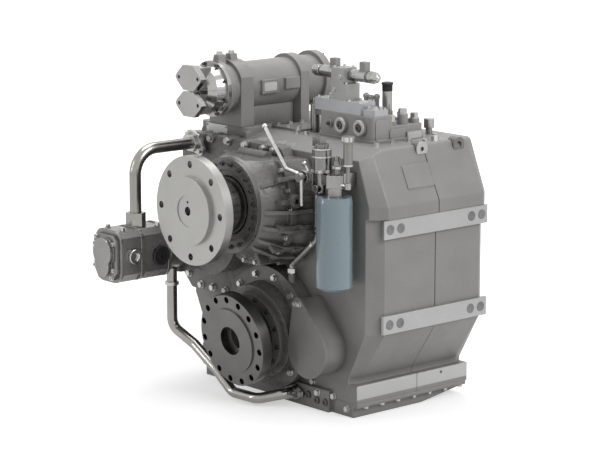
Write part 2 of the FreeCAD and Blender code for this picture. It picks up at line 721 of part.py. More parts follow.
def gear_train():
    """Three shafts that meet at one apex: input, reverse and output."""
    to_output = towards(INPUT_FRAME, OUTPUT_DIR)
    pitch = 2 * math.pi / OUTPUT_TEETH
    output_phase = towards(OUTPUT_FRAME, INPUT_DIR)
    lag = (output_phase - towards(OUTPUT_FRAME, REVERSE_DIR)) % pitch
    ahead_phase = to_output + math.pi / PINION_TEETH
    reverse_phase = towards(REVERSE_FRAME, OUTPUT_DIR) + math.pi / PINION_TEETH
    reverse_phase -= lag * OUTPUT_TEETH / PINION_TEETH
    drum_phase = towards(INPUT_FRAME, REVERSE_DIR)
    reverse_drum_phase = towards(REVERSE_FRAME, INPUT_DIR) + math.pi / TRANSFER_TEETH

    wheel = cone_gear(OUTPUT_TEETH, OUTPUT_CONE, on_output_axis(GEAR_Y0),
                      on_output_axis(GEAR_Y1), output_phase)
    y0 = on_output_axis(GEAR_Y0)
    y1 = on_output_axis(GEAR_Y1)
    web = ring(185, 98, y0 - 1, y0 + 18).fuse(ring(185, 98, y1 - 18, y1 + 1))
    wheel = wheel.cut(web)
    wheel = wheel.cut(cyl(OUTPUT_SHAFT_R + SEAT_FIT, 0, FAR))
    nodes["output_gear"] = seat(wheel, OUTPUT_FRAME)
    shaft = cyl(OUTPUT_SHAFT_R, OUTPUT_FACE + 30, y1 + 62)
    shaft = shaft.fuse(cyl(OUTPUT_SHAFT_R + 12, y0 - 40, y0 - FREE_GAP))
    shaft = shaft.cut(cyl(OUTPUT_BORE_R - 8, 0, OUTPUT_FACE + 80))
    nodes["output_shaft"] = seat(shaft, OUTPUT_FRAME)

    groups = ((INPUT_FRAME, SHAFT_R, ahead_phase, drum_phase, "ahead"),
              (REVERSE_FRAME, REVERSE_SHAFT_R, reverse_phase, reverse_drum_phase, "reverse"))
    for frame, radius, pinion_phase, phase, name in groups:
        quill_r = radius + QUILL_WALL
        pinion = cone_gear(PINION_TEETH, PINION_CONE, GEAR_Y0, GEAR_Y1, pinion_phase)
        pinion = pinion.fuse(cyl(quill_r, DRUM_Y0 + 40, GEAR_Y0 + 1))
        pinion = pinion.fuse(cyl(HUB_R, DRUM_Y0 + 44, TRANSFER_Y0 - 20))
        pinion = pinion.cut(cyl(radius + RUN_FIT, 0, FAR))
        nodes[name + "_pinion"] = seat(pinion, frame)
        drum = cone_gear(TRANSFER_TEETH, TRANSFER_CONE, TRANSFER_Y0, TRANSFER_Y1, phase)
        drum = drum.fuse(cyl(DRUM_R, DRUM_Y0, TRANSFER_Y0 + 1))
        drum = drum.cut(cyl(DRUM_R - DRUM_WALL, DRUM_Y0 + 14, FAR))
        drum = drum.fuse(cyl(radius + 18, DRUM_Y0 - 10, DRUM_Y0 + 30))
        drum = drum.cut(cyl(radius + SEAT_FIT, 0, FAR))
        nodes[name + "_drum"] = seat(drum, frame)
        steels = []
        linings = []
        for i in range(PLATES):
            y = DRUM_Y0 + 52 + i * PLATE_PITCH
            steels.append(plate_ring(DRUM_R - DRUM_WALL - FREE_GAP, HUB_R + 5, y, PLATE_T))
            linings.append(plate_ring(DRUM_R - DRUM_WALL - 5, HUB_R / math.cos(math.pi / PLATE_SIDES)
                                      + FREE_GAP, y + PLATE_PITCH / 2, PLATE_T))
        nodes[name + "_steel_plates"] = seat(Part.makeCompound(steels), frame)
        nodes[name + "_lined_plates"] = seat(Part.makeCompound(linings), frame)
        piston = ring(DRUM_R - DRUM_WALL - FREE_GAP, radius + 18 + FREE_GAP,
                      DRUM_Y0 + 18, DRUM_Y0 + 34)
        piston = piston.fuse(ring(DRUM_R - DRUM_WALL - 8, HUB_R + 12,
                                  DRUM_Y0 + 33, DRUM_Y0 + 46))
        nodes[name + "_piston"] = seat(piston, frame)
    nodes["input_shaft"] = cyl(SHAFT_R, 60, SHAFT_END_Y)
    nodes["reverse_shaft"] = seat(cyl(REVERSE_SHAFT_R, FRONT_Y + 18, SHAFT_END_Y - 8),
                                  REVERSE_FRAME)


def flanges():
    """Input and output coupling flanges."""
    disc = turned([(0, -INPUT_PILOT_H + 3), (INPUT_RECESS_R, -INPUT_PILOT_H + 3),
                   (INPUT_RECESS_R, -INPUT_PILOT_H), (INPUT_PILOT_R, -INPUT_PILOT_H),
                   (INPUT_PILOT_R, 0), (INPUT_R - 2, 0), (INPUT_R, 2), (INPUT_R, INPUT_T),
                   (INPUT_HUB_R + 12, INPUT_T), (INPUT_HUB_R, INPUT_T + 12),
                   (INPUT_HUB_R, INPUT_HUB_END), (SHAFT_R + SEAT_FIT, INPUT_HUB_END),
                   (SHAFT_R + SEAT_FIT, 59), (0, 59)])
    for x, z in on_circle(INPUT_HOLES, INPUT_PCD / 2):
        disc = disc.cut(cyl(INPUT_HOLE_R, -1, INPUT_T + 1, x, z))
    disc = disc.cut(cyl(14, -20, 24)).cut(cyl(4, -20, 10, 0, 28))
    nodes["input_flange"] = disc

    y = OUTPUT_FACE
    disc = turned([(OUTPUT_BORE_R, y - OUTPUT_PILOT_H), (OUTPUT_PILOT_R, y - OUTPUT_PILOT_H),
                   (OUTPUT_PILOT_R, y), (OUTPUT_R - 2, y), (OUTPUT_R, y + 2),
                   (OUTPUT_R, y + OUTPUT_T), (OUTPUT_HUB_R + 12, y + OUTPUT_T),
                   (OUTPUT_HUB_R, y + OUTPUT_T + 12), (OUTPUT_HUB_R, y + OUTPUT_HUB_L + 32),
                   (OUTPUT_SHAFT_R + SEAT_FIT, y + OUTPUT_HUB_L + 32),
                   (OUTPUT_SHAFT_R + SEAT_FIT, y + 29), (OUTPUT_BORE_R, y + 29)])
    for x, z in on_circle(OUTPUT_HOLES, OUTPUT_PCD / 2, 137.7):
        disc = disc.cut(cyl(OUTPUT_HOLE_R, y - 1, y + OUTPUT_T + 1, x, z))
    nodes["output_flange"] = seat(disc, OUTPUT_FRAME)


def bearings():
    """Roller bearings as closed rings, and the shaft seals."""
    rear0 = REAR_Y - END_WALL_T - 38
    y1 = on_output_axis(GEAR_Y1)
    places = ((INPUT_FRAME, SHAFT_R, BEARING_BORE_R, 196.0),
              (INPUT_FRAME, SHAFT_R, 85.0, rear0),
              (REVERSE_FRAME, REVERSE_SHAFT_R, 78.0, FRONT_Y + 20),
              (REVERSE_FRAME, REVERSE_SHAFT_R, 78.0, rear0 - 12),
              (OUTPUT_FRAME, OUTPUT_SHAFT_R, BEARING_BORE_R, OUTPUT_FACE + 150),
              (OUTPUT_FRAME, OUTPUT_SHAFT_R, 100.0, y1 + 24))
    rings = [seat(ring(outer - SEAT_FIT, inner + RUN_FIT, y, y + BEARING_L), frame)
             for frame, inner, outer, y in places]
    nodes["roller_bearings"] = Part.makeCompound(rings)
    seals = [ring(NOSE_BORE_R - SEAT_FIT, INPUT_HUB_R + RUN_FIT, NOSE_Y + 14.5, NOSE_Y + 27),
             seat(ring(BEARING_BORE_R - SEAT_FIT, OUTPUT_HUB_R + RUN_FIT, OUTPUT_FACE + 108.5,
                       OUTPUT_FACE + 118), OUTPUT_FRAME)]
    nodes["shaft_seals"] = Part.makeCompound(seals)
    nodes["rear_covers"] = Part.makeCompound([rear_cover(*place) for place in REAR_COVERS])


def rear_cover(direction, radius):
    """Round lid on the rear wall where a shaft's axis meets it."""
    x, z = axis_point(direction, REAR_Y)
    y = REAR_Y
    return turned([(0, y), (radius, y), (radius, y + 9), (radius - 3, y + 12),
                   (radius - 22, y + 12), (radius - 28, y + 18), (0, y + 18)], x, z)


def rear_bolts():
    heads = []
    for direction, radius in REAR_COVERS:
        x, z = axis_point(direction, REAR_Y)
        heads += [hexagon(14, 8, V(x + px, REAR_Y + 12, z + pz), V(0, 1, 0))
                  for px, pz in on_circle(8, radius - 12, 22.5)]
    return heads


def oil_pump():
    """Gear pump with its drive gears, valve case, end cover and plugs."""
    x, z = PUMP
    half = 66.0
    low = z - 82
    high = z + 82
    outline = [(x - half, low + 26), (x - half + 26, low), (x + half - 26, low),
               (x + half, low + 26), (x + half, high - 20), (x + half - 20, high),
               (x - half + 20, high), (x - half, high - 20)]
    case = prism(outline, 12, 128).fuse(cyl(72, 127, 208, x, z))
    case = case.cut(cyl(20, 0, 300, x, z))
    nodes["pump_valve_case"] = case.removeSplitter()
    body = prism(outline, -70, 12)
    meet = PUMP_MODULE * PUMP_TEETH / 2
    tip = meet + PUMP_MODULE + FREE_GAP
    chamber = cyl(tip, -56, -4, x, z + 24).fuse(cyl(tip, -56, -4, x, z + 24 - 2 * meet))
    body = body.cut(chamber)
    body = body.cut(cyl(20, -5, 30, x, z))
    nodes["pump_body"] = body
    cover = [(x - half + 8, z - 40), (x - half + 30, z - 74), (x + half - 34, z - 74),
             (x + half - 8, z - 48), (x + half - 8, z + 52), (x + half - 26, z + 70),
             (x - half + 26, z + 70), (x - half + 8, z + 52)]
    lid = prism(cover, -82, -70).fuse(cyl(46, -96, -81, x, z + 14))
    lid = lid.fuse(cyl(34, -96, -81, x, z - 30))
    nodes["pump_cover"] = lid.removeSplitter()
    side = x + half
    plugs = [cyl_x(35, side, side + 9, 85, z - 12).fuse(cyl_x(14, side + 8, side + 15, 85, z - 12)),
             cyl_x(26, side, side + 5, -18, z - 2).fuse(cyl_x(13, side + 4, side + 12, -18, z - 2))]
    plugs += housing_plugs()
    nodes["screw_plugs"] = Part.makeCompound(plugs)
    phase = DRIVE_ANGLE
    drive = spur_gear(DRIVE_TEETH, DRIVE_MODULE, DRIVE_Y0, DRIVE_Y1, phase)
    nodes["pump_drive_gear"] = drive.cut(cyl(SHAFT_R + SEAT_FIT, 0, FAR))
    idler_phase = phase + math.pi + math.pi / IDLER_TEETH
    idler = spur_gear(IDLER_TEETH, DRIVE_MODULE, DRIVE_Y0, DRIVE_Y1, idler_phase)
    idler.translate(V(IDLER[0], 0, IDLER[1]))
    nodes["pump_idler_gear"] = idler.cut(cyl(PIN_R + RUN_FIT, 0, FAR, *IDLER))
    nodes["idler_pin"] = cyl(PIN_R, DRIVE_Y0 - 8, FRONT_Y + END_WALL_T, *IDLER)
    last = spur_gear(PUMP_DRIVE_TEETH, DRIVE_MODULE, DRIVE_Y0, DRIVE_Y1, phase + math.pi)
    last.translate(V(x, 0, z))
    nodes["pump_shaft"] = last.fuse(cyl(19.9, -3, DRIVE_Y1 + 10, x, z)).removeSplitter()


def pipes():
    """Suction, pressure and lubrication pipes."""
    x = PUMP_X
    end_x = SUCTION_X
    end_z = SUCTION_Z
    route = [V(x, 183, PUMP_Z - 74), V(x, 183, -448), V(-235, 200, -496), V(-131, 202, -556),
             V(-48, 204, -618), V(60, 214, -620), V(end_x - 4, 272, end_z),
             V(end_x, PAD_Y - 40, end_z), V(end_x, PAD_Y - 8, end_z)]
    nodes["suction_pipe"] = pipe(route, SUCTION_R, 44)
    flange = cyl(24, PAD_Y - 10, PAD_Y, end_x, end_z)
    for sign in (-1, 1):
        flange = flange.fuse(teardrop(end_x, end_z, 24, end_x + sign * SUCTION_LOBE, end_z, 11,
                                      PAD_Y - 10, PAD_Y))
    flange = flange.fuse(cyl(20, PAD_Y - 22, PAD_Y - 9, end_x, end_z)).removeSplitter()
    flange = flange.cut(cyl(SUCTION_R + 0.2, PAD_Y - 40, PAD_Y + 1, end_x, end_z))
    top = PUMP_Z + 82
    route = [V(x, 40, top + 8), V(x, 40, 143), V(x, 292, 143)]
    nodes["pressure_pipe"] = pipe(route, PRESSURE_R, 80)
    nut = hexagon(56, 44, V(x, 40, top), V(0, 0, 1))
    nut = nut.cut(cyl_z(PRESSURE_R + 0.2, top + 7, top + 50, x, 40))
    nodes["pipe_fittings"] = Part.makeCompound([flange, nut])
    route = [V(227, 318, 70), V(227, 318, -96), V(108, 318, -196), V(108, 318, -226)]
    nodes["lube_pipe"] = pipe(route, 8, 14)


def oil_cooler():
    """Shell and tube cooler on two saddles, with bolted end caps."""
    x, z, r = COOLER_X, COOLER_Z, COOLER_R
    shell = cyl(r, COOLER_Y0, COOLER_Y1, x, z)
    right = x + r + 4
    front_saddle = block(x - r - 4, right, 345, 397, BLOCK_TOP_Z, z).fuse(
        cyl(r + 12, 345, 397, x, z).common(block(x - r - 4, right, 0, FAR, 0, FAR)))
    rear_saddle = block(x - r - 4, right, 597, 632, DECK_Z, z).fuse(
        cyl(r + 12, 597, 632, x, z).common(block(x - r - 4, right, 0, FAR, 0, FAR)))
    flange = cyl(r + COOLER_RIM, COOLER_Y0, COOLER_Y0 + 14, x, z)
    rear_flange = cyl(r + COOLER_RIM, COOLER_Y1 - 14, COOLER_Y1, x, z)
    pads = block(x, right + 4, 430, 500, z - 22, z + 22).fuse(
        block(x, right + 4, 530, 590, z - 14, z + 22))
    outside = shell.fuse([front_saddle, rear_saddle, flange, rear_flange, pads])
    for y in (322, 371):
        ear = prism([(x - 22, z + r - 12), (x + 22, z + r - 12), (x + 11, z + r + 30),
                     (x - 11, z + r + 30)], y - 14, y + 14)
        outside = outside.fuse(ear)
    bore = cyl(r - 8, COOLER_Y0 - 1, COOLER_Y1 + 1, x, z)
    nodes["cooler_shell"] = outside.cut(bore).removeSplitter()
    tubes = [cyl(9, COOLER_Y0 + 4, COOLER_Y1 - 4, x + tx, z + tz)
             for tx, tz in [(0.0, 0.0)] + on_circle(6, 30) + on_circle(8, 54)]
    sheets = [cyl(r - 8 - SEAT_FIT, y, y + 6, x, z) for y in (COOLER_Y0 + 1, COOLER_Y1 - 7)]
    nodes["cooler_tubes"] = sheets[0].fuse([sheets[1]] + tubes)
    cap = turned([(0, COOLER_CAP_Y), (r - 30, COOLER_CAP_Y), (r - 8, COOLER_CAP_Y + 22),
                  (r, COOLER_Y0 - 14), (r + COOLER_RIM, COOLER_Y0 - 14),
                  (r + COOLER_RIM, COOLER_Y0),
                  (r - 14, COOLER_Y0), (r - 14, COOLER_CAP_Y + 30), (0, COOLER_CAP_Y + 14)], x, z)
    for sign in (-1, 1):
        pz = z + sign * PORT_PITCH / 2
        rhomb = [(x - 66, pz), (x - 58, pz + 12), (x - 26, pz + 40), (x + 26, pz + 40),
                 (x + 58, pz + 12), (x + 66, pz), (x + 58, pz - 12), (x + 26, pz - 40),
                 (x - 26, pz - 40), (x - 58, pz - 12)]
        cap = cap.fuse(prism(rhomb, PORT_FACE_Y, PORT_FACE_Y + 20))
        cap = cap.fuse(block(x - 34, x + 34, PORT_FACE_Y + 19, COOLER_CAP_Y + 24,
                             pz - 32, pz + 32))
    for sign in (-1, 1):
        pz = z + sign * PORT_PITCH / 2
        cap = cap.cut(cyl(22, PORT_FACE_Y + 6, COOLER_CAP_Y + 16, x, pz))
        for side in (-1, 1):
            cap = cap.cut(cyl(PORT_HOLE_R, PORT_FACE_Y - 1, PORT_FACE_Y + 21,
                              x + side * PORT_BOLT_PITCH / 2, pz))
    nodes["cooler_front_cap"] = cap.removeSplitter()
    end = turned([(0, COOLER_Y1 + 34), (r - 30, COOLER_Y1 + 34), (r - 6, COOLER_Y1 + 22),
                  (r, COOLER_Y1 + 14), (r + COOLER_RIM, COOLER_Y1 + 14), (r + COOLER_RIM, COOLER_Y1),
                  (r - 14, COOLER_Y1), (r - 14, COOLER_Y1 + 16), (0, COOLER_Y1 + 24)], x, z)
    nodes["cooler_rear_cap"] = end
    heads = [hexagon(17, 10, V(x, y, z + r + 30), V(0, 0, 1)) for y in (322, 371)]
    for px, pz in on_circle(8, r + COOLER_RIM / 2 + 0.5, 22.5):
        heads.append(hexagon(9, 8, V(x + px, COOLER_Y0 - 14, z + pz), V(0, -1, 0)))
        heads.append(hexagon(9, 8, V(x + px, COOLER_Y1 + 14, z + pz), V(0, 1, 0)))
    return heads


def filter_group():
    """Spin-on filter under its head, the valves beside it and their levers."""
    x, y, r = FILTER_X, FILTER_Y, FILTER_R
    can = turned([(0, 0), (r - 10, 0), (r, 8), (r, 270), (r - 3, 286), (18, 286), (18, 280),
                  (r - 6, 280), (r - 2, 262), (r - 2, 12), (r - 12, 3), (0, 3)])
    can.rotate(V(0, 0, 0), V(1, 0, 0), 90)
    can.translate(V(x, y, FILTER_BOTTOM))
    nodes["filter_canister"] = can
    element = cyl_z(r - 14, FILTER_BOTTOM + 14, FILTER_TOP - 12 - FREE_GAP, x, y)
    nodes["filter_element"] = element.cut(cyl_z(18, FILTER_BOTTOM + 10, FILTER_TOP, x, y))
    half = HEAD_SIDE / 2
    head = block(-half, half, -half, half, HEAD_Z0, HEAD_Z1)
    head.rotate(V(0, 0, 0), V(0, 0, 1), 45)
    head.translate(V(x + 4, y, 0))
    neck = cyl_z(27, FILTER_TOP + 0.2, HEAD_Z0 + 1, x, y)
    spud = cyl_z(18 - FREE_GAP, FILTER_TOP - 12, FILTER_TOP + 1, x, y)
    boss = cyl_z(17, FILTER_TOP + 5, HEAD_Z1, HEAD_BOSS_X, y)
    port = cyl(12, y - 29, y + 4, HEAD_BOSS_X, FILTER_TOP + 19)
    link = block(HEAD_X0, x, y - 13, y + 18, HEAD_Z0 + 2, HEAD_Z1 - 4)
    pad = block(HEAD_BOSS_X, HEAD_BOSS_X + 70, y + 12, FRONT_Y, HEAD_Z0 - 6, HEAD_Z1)
    elbow = pipe([V(x + 20, y, HEAD_Z0 + 9), V(ROD_X, y + 6, HEAD_Z0 + 9)], 8, 8)
    knuckle = cyl_z(10, HEAD_Z0 - 1, HEAD_Z0 + 18, ROD_X, y + 6)
    nodes["filter_head"] = fuse(head, neck, spud, boss, port, link, pad, elbow, knuckle)
    sensors = [fuse(cyl_z(30, HEAD_Z1, 176, HEAD_BOSS_X, y), cyl_z(27, 175, 179, HEAD_BOSS_X, y),
                    cyl_z(30, 178, 202, HEAD_BOSS_X, y), cyl_z(21, 201, 216, HEAD_BOSS_X, y),
                    block(HEAD_BOSS_X - 30, HEAD_BOSS_X + 6, y - 12, y + 12, 208, 236)),
               fuse(cyl_z(6, HEAD_Z0 + 18, 162, ROD_X, y + 6), cyl_z(14, 161, 233, ROD_X, y + 6),
                    cyl_z(17, 232, 252, ROD_X, y + 6)),
               fuse(cyl_z(9, HEAD_Z1, 184, x + 10, y + 2), cyl_z(13, 158, 172, x + 10, y + 2))]
    sensors.append(fuse(cyl_z(15, DECK_Z, 282, -12, 520), cyl_z(10, 281, 300, -12, 520),
                        block(-4, 30, 510, 530, 250, 268)))
    nodes["pressure_sensors"] = Part.makeCompound(sensors)
    valve = block(245, HEAD_X0, y - 22, FRONT_Y, 72, 126)
    valve = valve.fuse(cyl(20, y - 34, y - 21, 255, 112))
    valve = valve.cut(cyl(7 + RUN_FIT, 0, y - 2, 255, 112))
    nodes["changeover_valve"] = valve
    drain = cyl(17, 304, FRONT_Y, 226, 87).cut(cyl(5 + RUN_FIT, 0, 322, 226, 87))
    nodes["drain_valve"] = drain
    ly = 222.0
    bar = pipe([V(96, ly, 245), V(194, ly, 131), V(245, ly, 124), V(263, ly, 108),
                V(265, ly, 26)], 6, 8)
    lever = bar.fuse([Part.makeSphere(9, V(92, ly, 250)), cyl(14, ly - 7, ly + 7, 255, 112),
                      cyl(7, ly, y - 4, 255, 112)])
    nodes["changeover_lever"] = lever
    arm = turned([(0, 0), (4, 0), (4, 54), (7, 56), (9, 61), (7, 66), (0, 69)])
    arm.rotate(V(0, 0, 0), V(1, 0, 0), 90)
    arm.rotate(V(0, 0, 0), V(0, 1, 0), -32)
    arm.translate(V(226, 296, 87))
    nodes["drain_lever"] = arm.fuse([cyl(9, 290, 303, 226, 87), cyl(5, 295, 320, 226, 87)])


CTRL_PORTS = ((92.0, 12.0), (146.0, 22.0), (233.0, 22.0))
CTRL_BOSSES = ((264.0, 592.0, 250.0), (266.0, 640.0, 268.0), (266.0, 690.0, 250.0),
               (110.0, 612.0, 252.0), (96.0, 676.0, 248.0), (150.0, 690.0, 244.0))
PORT_Z = 234.0


def housing_plugs():
    """Screw plugs of the control housing, the deck and the foot."""
    plugs = [hexagon(24, 18, V(x, y, top), V(0, 0, 1)) for x, y, top in CTRL_BOSSES]
    for x, radius in CTRL_PORTS:
        plugs.append(hexagon(radius, 6, V(x, CTRL_Y0 - 8, PORT_Z), V(0, -1, 0)))
    plugs.append(hexagon(22, 15, V(366, 684, DECK_Z), V(0, 0, 1)))
    plugs += [cyl(13, PAD_Y - 5, PAD_Y, x, z) for x, z in FOOT_PLUGS]
    for x, y in ((240, 522), (268, 522), (268, 546)):
        plugs.append(hexagon(13, 9, V(x, y, CTRL_TOP + 20), V(0, 0, 1)))
    return plugs


def control_group():
    """Clutch control: cast housing, manifold, valve block and solenoids."""
    x0, x1 = CTRL_X0, CTRL_X1
    side = [V(x0, CTRL_Y0, DECK_Z), V(x0, CTRL_Y0, CTRL_TOP), V(x0, CTRL_STEP_Y, CTRL_TOP),
            V(x0, CTRL_STEP_Y + 12, CTRL_LOW_TOP), V(x0, CTRL_Y1, CTRL_LOW_TOP),
            V(x0, CTRL_Y1, DECK_Z)]
    solid = Part.Face(Part.makePolygon(side + side[:1])).extrude(V(x1 - x0, 0, 0))
    upright = [e for e in solid.Edges if e.Length > 25
               and abs(e.tangentAt(e.FirstParameter).z) > 0.99]
    solid = solid.makeFillet(12, upright)
    for x, radius in CTRL_PORTS:
        solid = solid.fuse(cyl(radius, CTRL_Y0 - 8, CTRL_Y0 + 1, x, PORT_Z))
    for x, y, top in CTRL_BOSSES:
        solid = solid.fuse(cyl_z(17, CTRL_LOW_TOP - 10, top, x, y))
    solid = solid.fuse(block(x1 - 5, x1 + 7, 632, CTRL_Y1 - 10, DECK_Z, 215))
    solid = solid.cut(block(x0 + 14, x1 - 14, CTRL_Y0 + 14, CTRL_Y1 - 14, DECK_Z - 1,
                            CTRL_LOW_TOP - 20))
    nodes["control_housing"] = solid.removeSplitter()
    man_top = CTRL_TOP + 38
    manifold = block(14, 226, CTRL_Y0 + 4, CTRL_STEP_Y - 4, CTRL_TOP, man_top)
    nodes["valve_manifold"] = manifold.fuse(block(225, 284, CTRL_Y0 + 12, CTRL_STEP_Y - 4,
                                                  CTRL_TOP, CTRL_TOP + 20))
    top = man_top + 101
    x0, x1 = 84, 140
    foot = block(x0, x1 + 14, 502, 560, man_top, man_top + 52)
    nodes["valve_block"] = foot.fuse(block(x0, x1, 502, 560, man_top, top))
    sz = top - 22
    sy = 538
    solenoids = []
    for x, sign in ((x1, 1), (x0, -1)):
        tube = turned([(0, 0), (19, 0), (19, 76), (16, 78), (16, 84), (19, 86), (19, 104),
                       (16, 116), (10, 124), (0, 128)])
        tube.rotate(V(0, 0, 0), V(0, 0, 1), -90 if sign > 0 else 90)
        tube.translate(V(x, sy, sz))
        plug_x = x + 48 if sign > 0 else x - 34
        plug = block(plug_x, plug_x + 26, sy - 11, sy + 11, sz + 15, sz + 46)
        solenoids.append(tube.fuse(plug))
    nodes["solenoids"] = Part.makeCompound(solenoids)
    neck_x, neck_y = 190, 645
    neck = fuse(cyl_z(16, CTRL_LOW_TOP, 332, neck_x, neck_y),
                cyl_z(20, CTRL_LOW_TOP, CTRL_LOW_TOP + 14, neck_x, neck_y))
    nodes["filler_cap"] = fuse(cyl_z(16, 332, 352, neck_x, neck_y),
                               cyl_z(19, 351, 360, neck_x, neck_y))
    breather = fuse(cyl_z(11, DECK_Z, 212, 255, 766), cyl_z(17, 211, 240, 255, 766))
    nodes["filler_neck_and_breather"] = Part.makeCompound([neck, breather])


def lifting_eyes():
    """Round lugs on the shoulders of the casing, each with a tapped hole."""
    lugs = []
    for side in (-1, 1):
        for y, z, radius, hole in ((JOINT_Y - 12, 178, 24, 7), (752, 176, 24, 11)):
            x = CREST_X + 2
            eye = cyl_x(radius, x - 20, x + 12, y, z).cut(cyl_x(hole, x - 30, x + 20, y, z))
            eye = eye.cut(casing_solid())
            if side < 0:
                eye = eye.mirror(V(0, 0, 0), V(1, 0, 0))
            lugs.append(eye)
    nodes["lifting_eyes"] = Part.makeCompound(lugs)


def casing_solid():
    return prism(full_outline(casing_outline(0)), FRONT_Y + CORNER, REAR_Y)


casing_halves()
rails()
heads = sump_pan() + front_housing() + front_bolts() + output_side() + rear_bolts() + oil_cooler()
heads += deck_bolts()
nodes["casing_bolts"] = Part.makeCompound(heads)
gear_train()
flanges()
bearings()
oil_pump()
pipes()
filter_group()
control_group()
lifting_eyes()

os.makedirs("parts", exist_ok=True)
for name, shape in nodes.items():
    shape.exportStep("parts/" + name + ".step")
    print(name, len(shape.Solids), round(shape.Volume / 1000), shape.isValid())
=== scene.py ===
import json
import logging
import math
from dataclasses import dataclass
from enum import Enum
from functools import cache
from typing import Any, Callable, Mapping, Optional, Sequence, Union

import bmesh
import bpy
from mathutils import Matrix, Vector
from mathutils.bvhtree import BVHTree

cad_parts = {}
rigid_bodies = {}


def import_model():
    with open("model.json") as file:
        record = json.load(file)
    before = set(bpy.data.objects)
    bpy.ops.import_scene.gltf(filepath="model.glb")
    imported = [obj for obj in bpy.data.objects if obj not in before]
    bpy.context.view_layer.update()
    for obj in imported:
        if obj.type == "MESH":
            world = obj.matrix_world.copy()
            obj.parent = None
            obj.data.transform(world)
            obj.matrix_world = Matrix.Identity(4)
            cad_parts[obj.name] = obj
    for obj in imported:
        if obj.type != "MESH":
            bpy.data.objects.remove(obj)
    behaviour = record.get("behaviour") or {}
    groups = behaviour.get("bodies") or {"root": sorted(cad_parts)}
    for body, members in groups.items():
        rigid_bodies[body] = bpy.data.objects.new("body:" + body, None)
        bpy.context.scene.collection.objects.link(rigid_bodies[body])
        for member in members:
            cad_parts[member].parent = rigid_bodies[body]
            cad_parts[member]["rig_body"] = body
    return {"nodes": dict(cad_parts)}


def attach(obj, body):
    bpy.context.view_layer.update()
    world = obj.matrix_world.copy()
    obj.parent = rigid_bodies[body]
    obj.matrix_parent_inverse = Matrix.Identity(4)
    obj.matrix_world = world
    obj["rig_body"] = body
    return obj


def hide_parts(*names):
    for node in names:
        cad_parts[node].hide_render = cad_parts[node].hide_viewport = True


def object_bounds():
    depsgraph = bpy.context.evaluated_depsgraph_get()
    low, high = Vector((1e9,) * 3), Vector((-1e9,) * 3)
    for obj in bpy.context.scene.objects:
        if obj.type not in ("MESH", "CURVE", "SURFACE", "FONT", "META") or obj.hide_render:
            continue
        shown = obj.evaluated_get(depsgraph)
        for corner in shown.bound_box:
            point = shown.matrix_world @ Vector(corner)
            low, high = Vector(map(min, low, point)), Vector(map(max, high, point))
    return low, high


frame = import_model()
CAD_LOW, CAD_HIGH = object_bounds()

log = logging.getLogger("gearbox")

Colour = tuple[float, float, float]
Point = tuple[float, float, float]
Profile = Sequence[tuple[float, float]]

ROOT = "gearbox"
UP: Point = (0.0, 0.0, 1.0)
FRONT: Point = (0.0, -1.0, 0.0)
RIGHT: Point = (1.0, 0.0, 0.0)
FAR = 9
SAMPLES = {"samples": 4}
PAINT_GREY: Colour = (0.25, 0.242, 0.236)
OUTPUT_FACE: Point = (0.0, 0.1596, -0.434)
OUTPUT_TILT = math.radians(8.31)
OUTPUT_AXIS: Point = (0.0, -math.cos(OUTPUT_TILT), -math.sin(OUTPUT_TILT))


def operator(operation: str, swapped: bool = False) -> Callable[..., "Value"]:
    """Make a method of Value that adds one Math node.

    Args:
        operation: The Math node's operation.
        swapped: Whether the other value comes first.

    Returns:
        The method.
    """
    def method(value: "Value", other: "Number" = 0.0) -> "Value":
        """Add the node."""
        pair = (other, value) if swapped else (value, other)
        return value.sheet.node("ShaderNodeMath", {"operation": operation},
                                dict(enumerate(pair)))
    return method


class Value:
    """An output socket of a tree's nodes, which may stand in sums."""

    __add__ = __radd__ = operator("ADD")
    __sub__ = operator("SUBTRACT")
    __rsub__ = operator("SUBTRACT", swapped=True)
    __mul__ = __rmul__ = operator("MULTIPLY")
    __gt__ = operator("GREATER_THAN")
    __lt__ = operator("LESS_THAN")
    __abs__ = operator("ABSOLUTE")
    wave = operator("SINE")
    power = operator("POWER")
    either = operator("MAXIMUM")

    def __init__(self, sheet: "NodeSheet", socket: bpy.types.NodeSocket) -> None:
        """Keep the socket and the sheet it is drawn on."""
        self.sheet = sheet
        self.socket = socket


Number = Union[Value, float, int]


class NodeSheet:
    """A node tree, with short ways to add to it."""

    def __init__(self, tree: bpy.types.NodeTree) -> None:
        """Keep the tree."""
        self.tree = tree

    def node(self, kind: str, settings: Optional[Mapping[str, Any]] = None,
             sockets: Optional[Mapping[Union[str, int], Any]] = None,
             output: Union[str, int] = 0) -> Value:
        """Add one node.

        Args:
            kind: The node's type.
            settings: Its properties.
            sockets: Values or links of its inputs, by name or number; a list is linked in turn.
            output: The output to return.

        Returns:
            The chosen output.
        """
        made = self.tree.nodes.new(kind)
        for key, value in (settings or {}).items():
            setattr(made, key, value)
        for key, given in (sockets or {}).items():
            for value in given if isinstance(given, list) else [given]:
                if isinstance(value, Value):
                    self.tree.links.new(value.socket, made.inputs[key])
                else:
                    made.inputs[key].default_value = value
        return Value(self, made.outputs[output])

    def spread(self, value: Value, low: float, high: float, to_low: float = 0.0,
               to_high: float = 1.0) -> Value:
        """Stretch a value from one range to another, and clamp it."""
        return self.node("ShaderNodeMapRange", {},
                         {0: value, 1: low, 2: high, 3: to_low, 4: to_high})


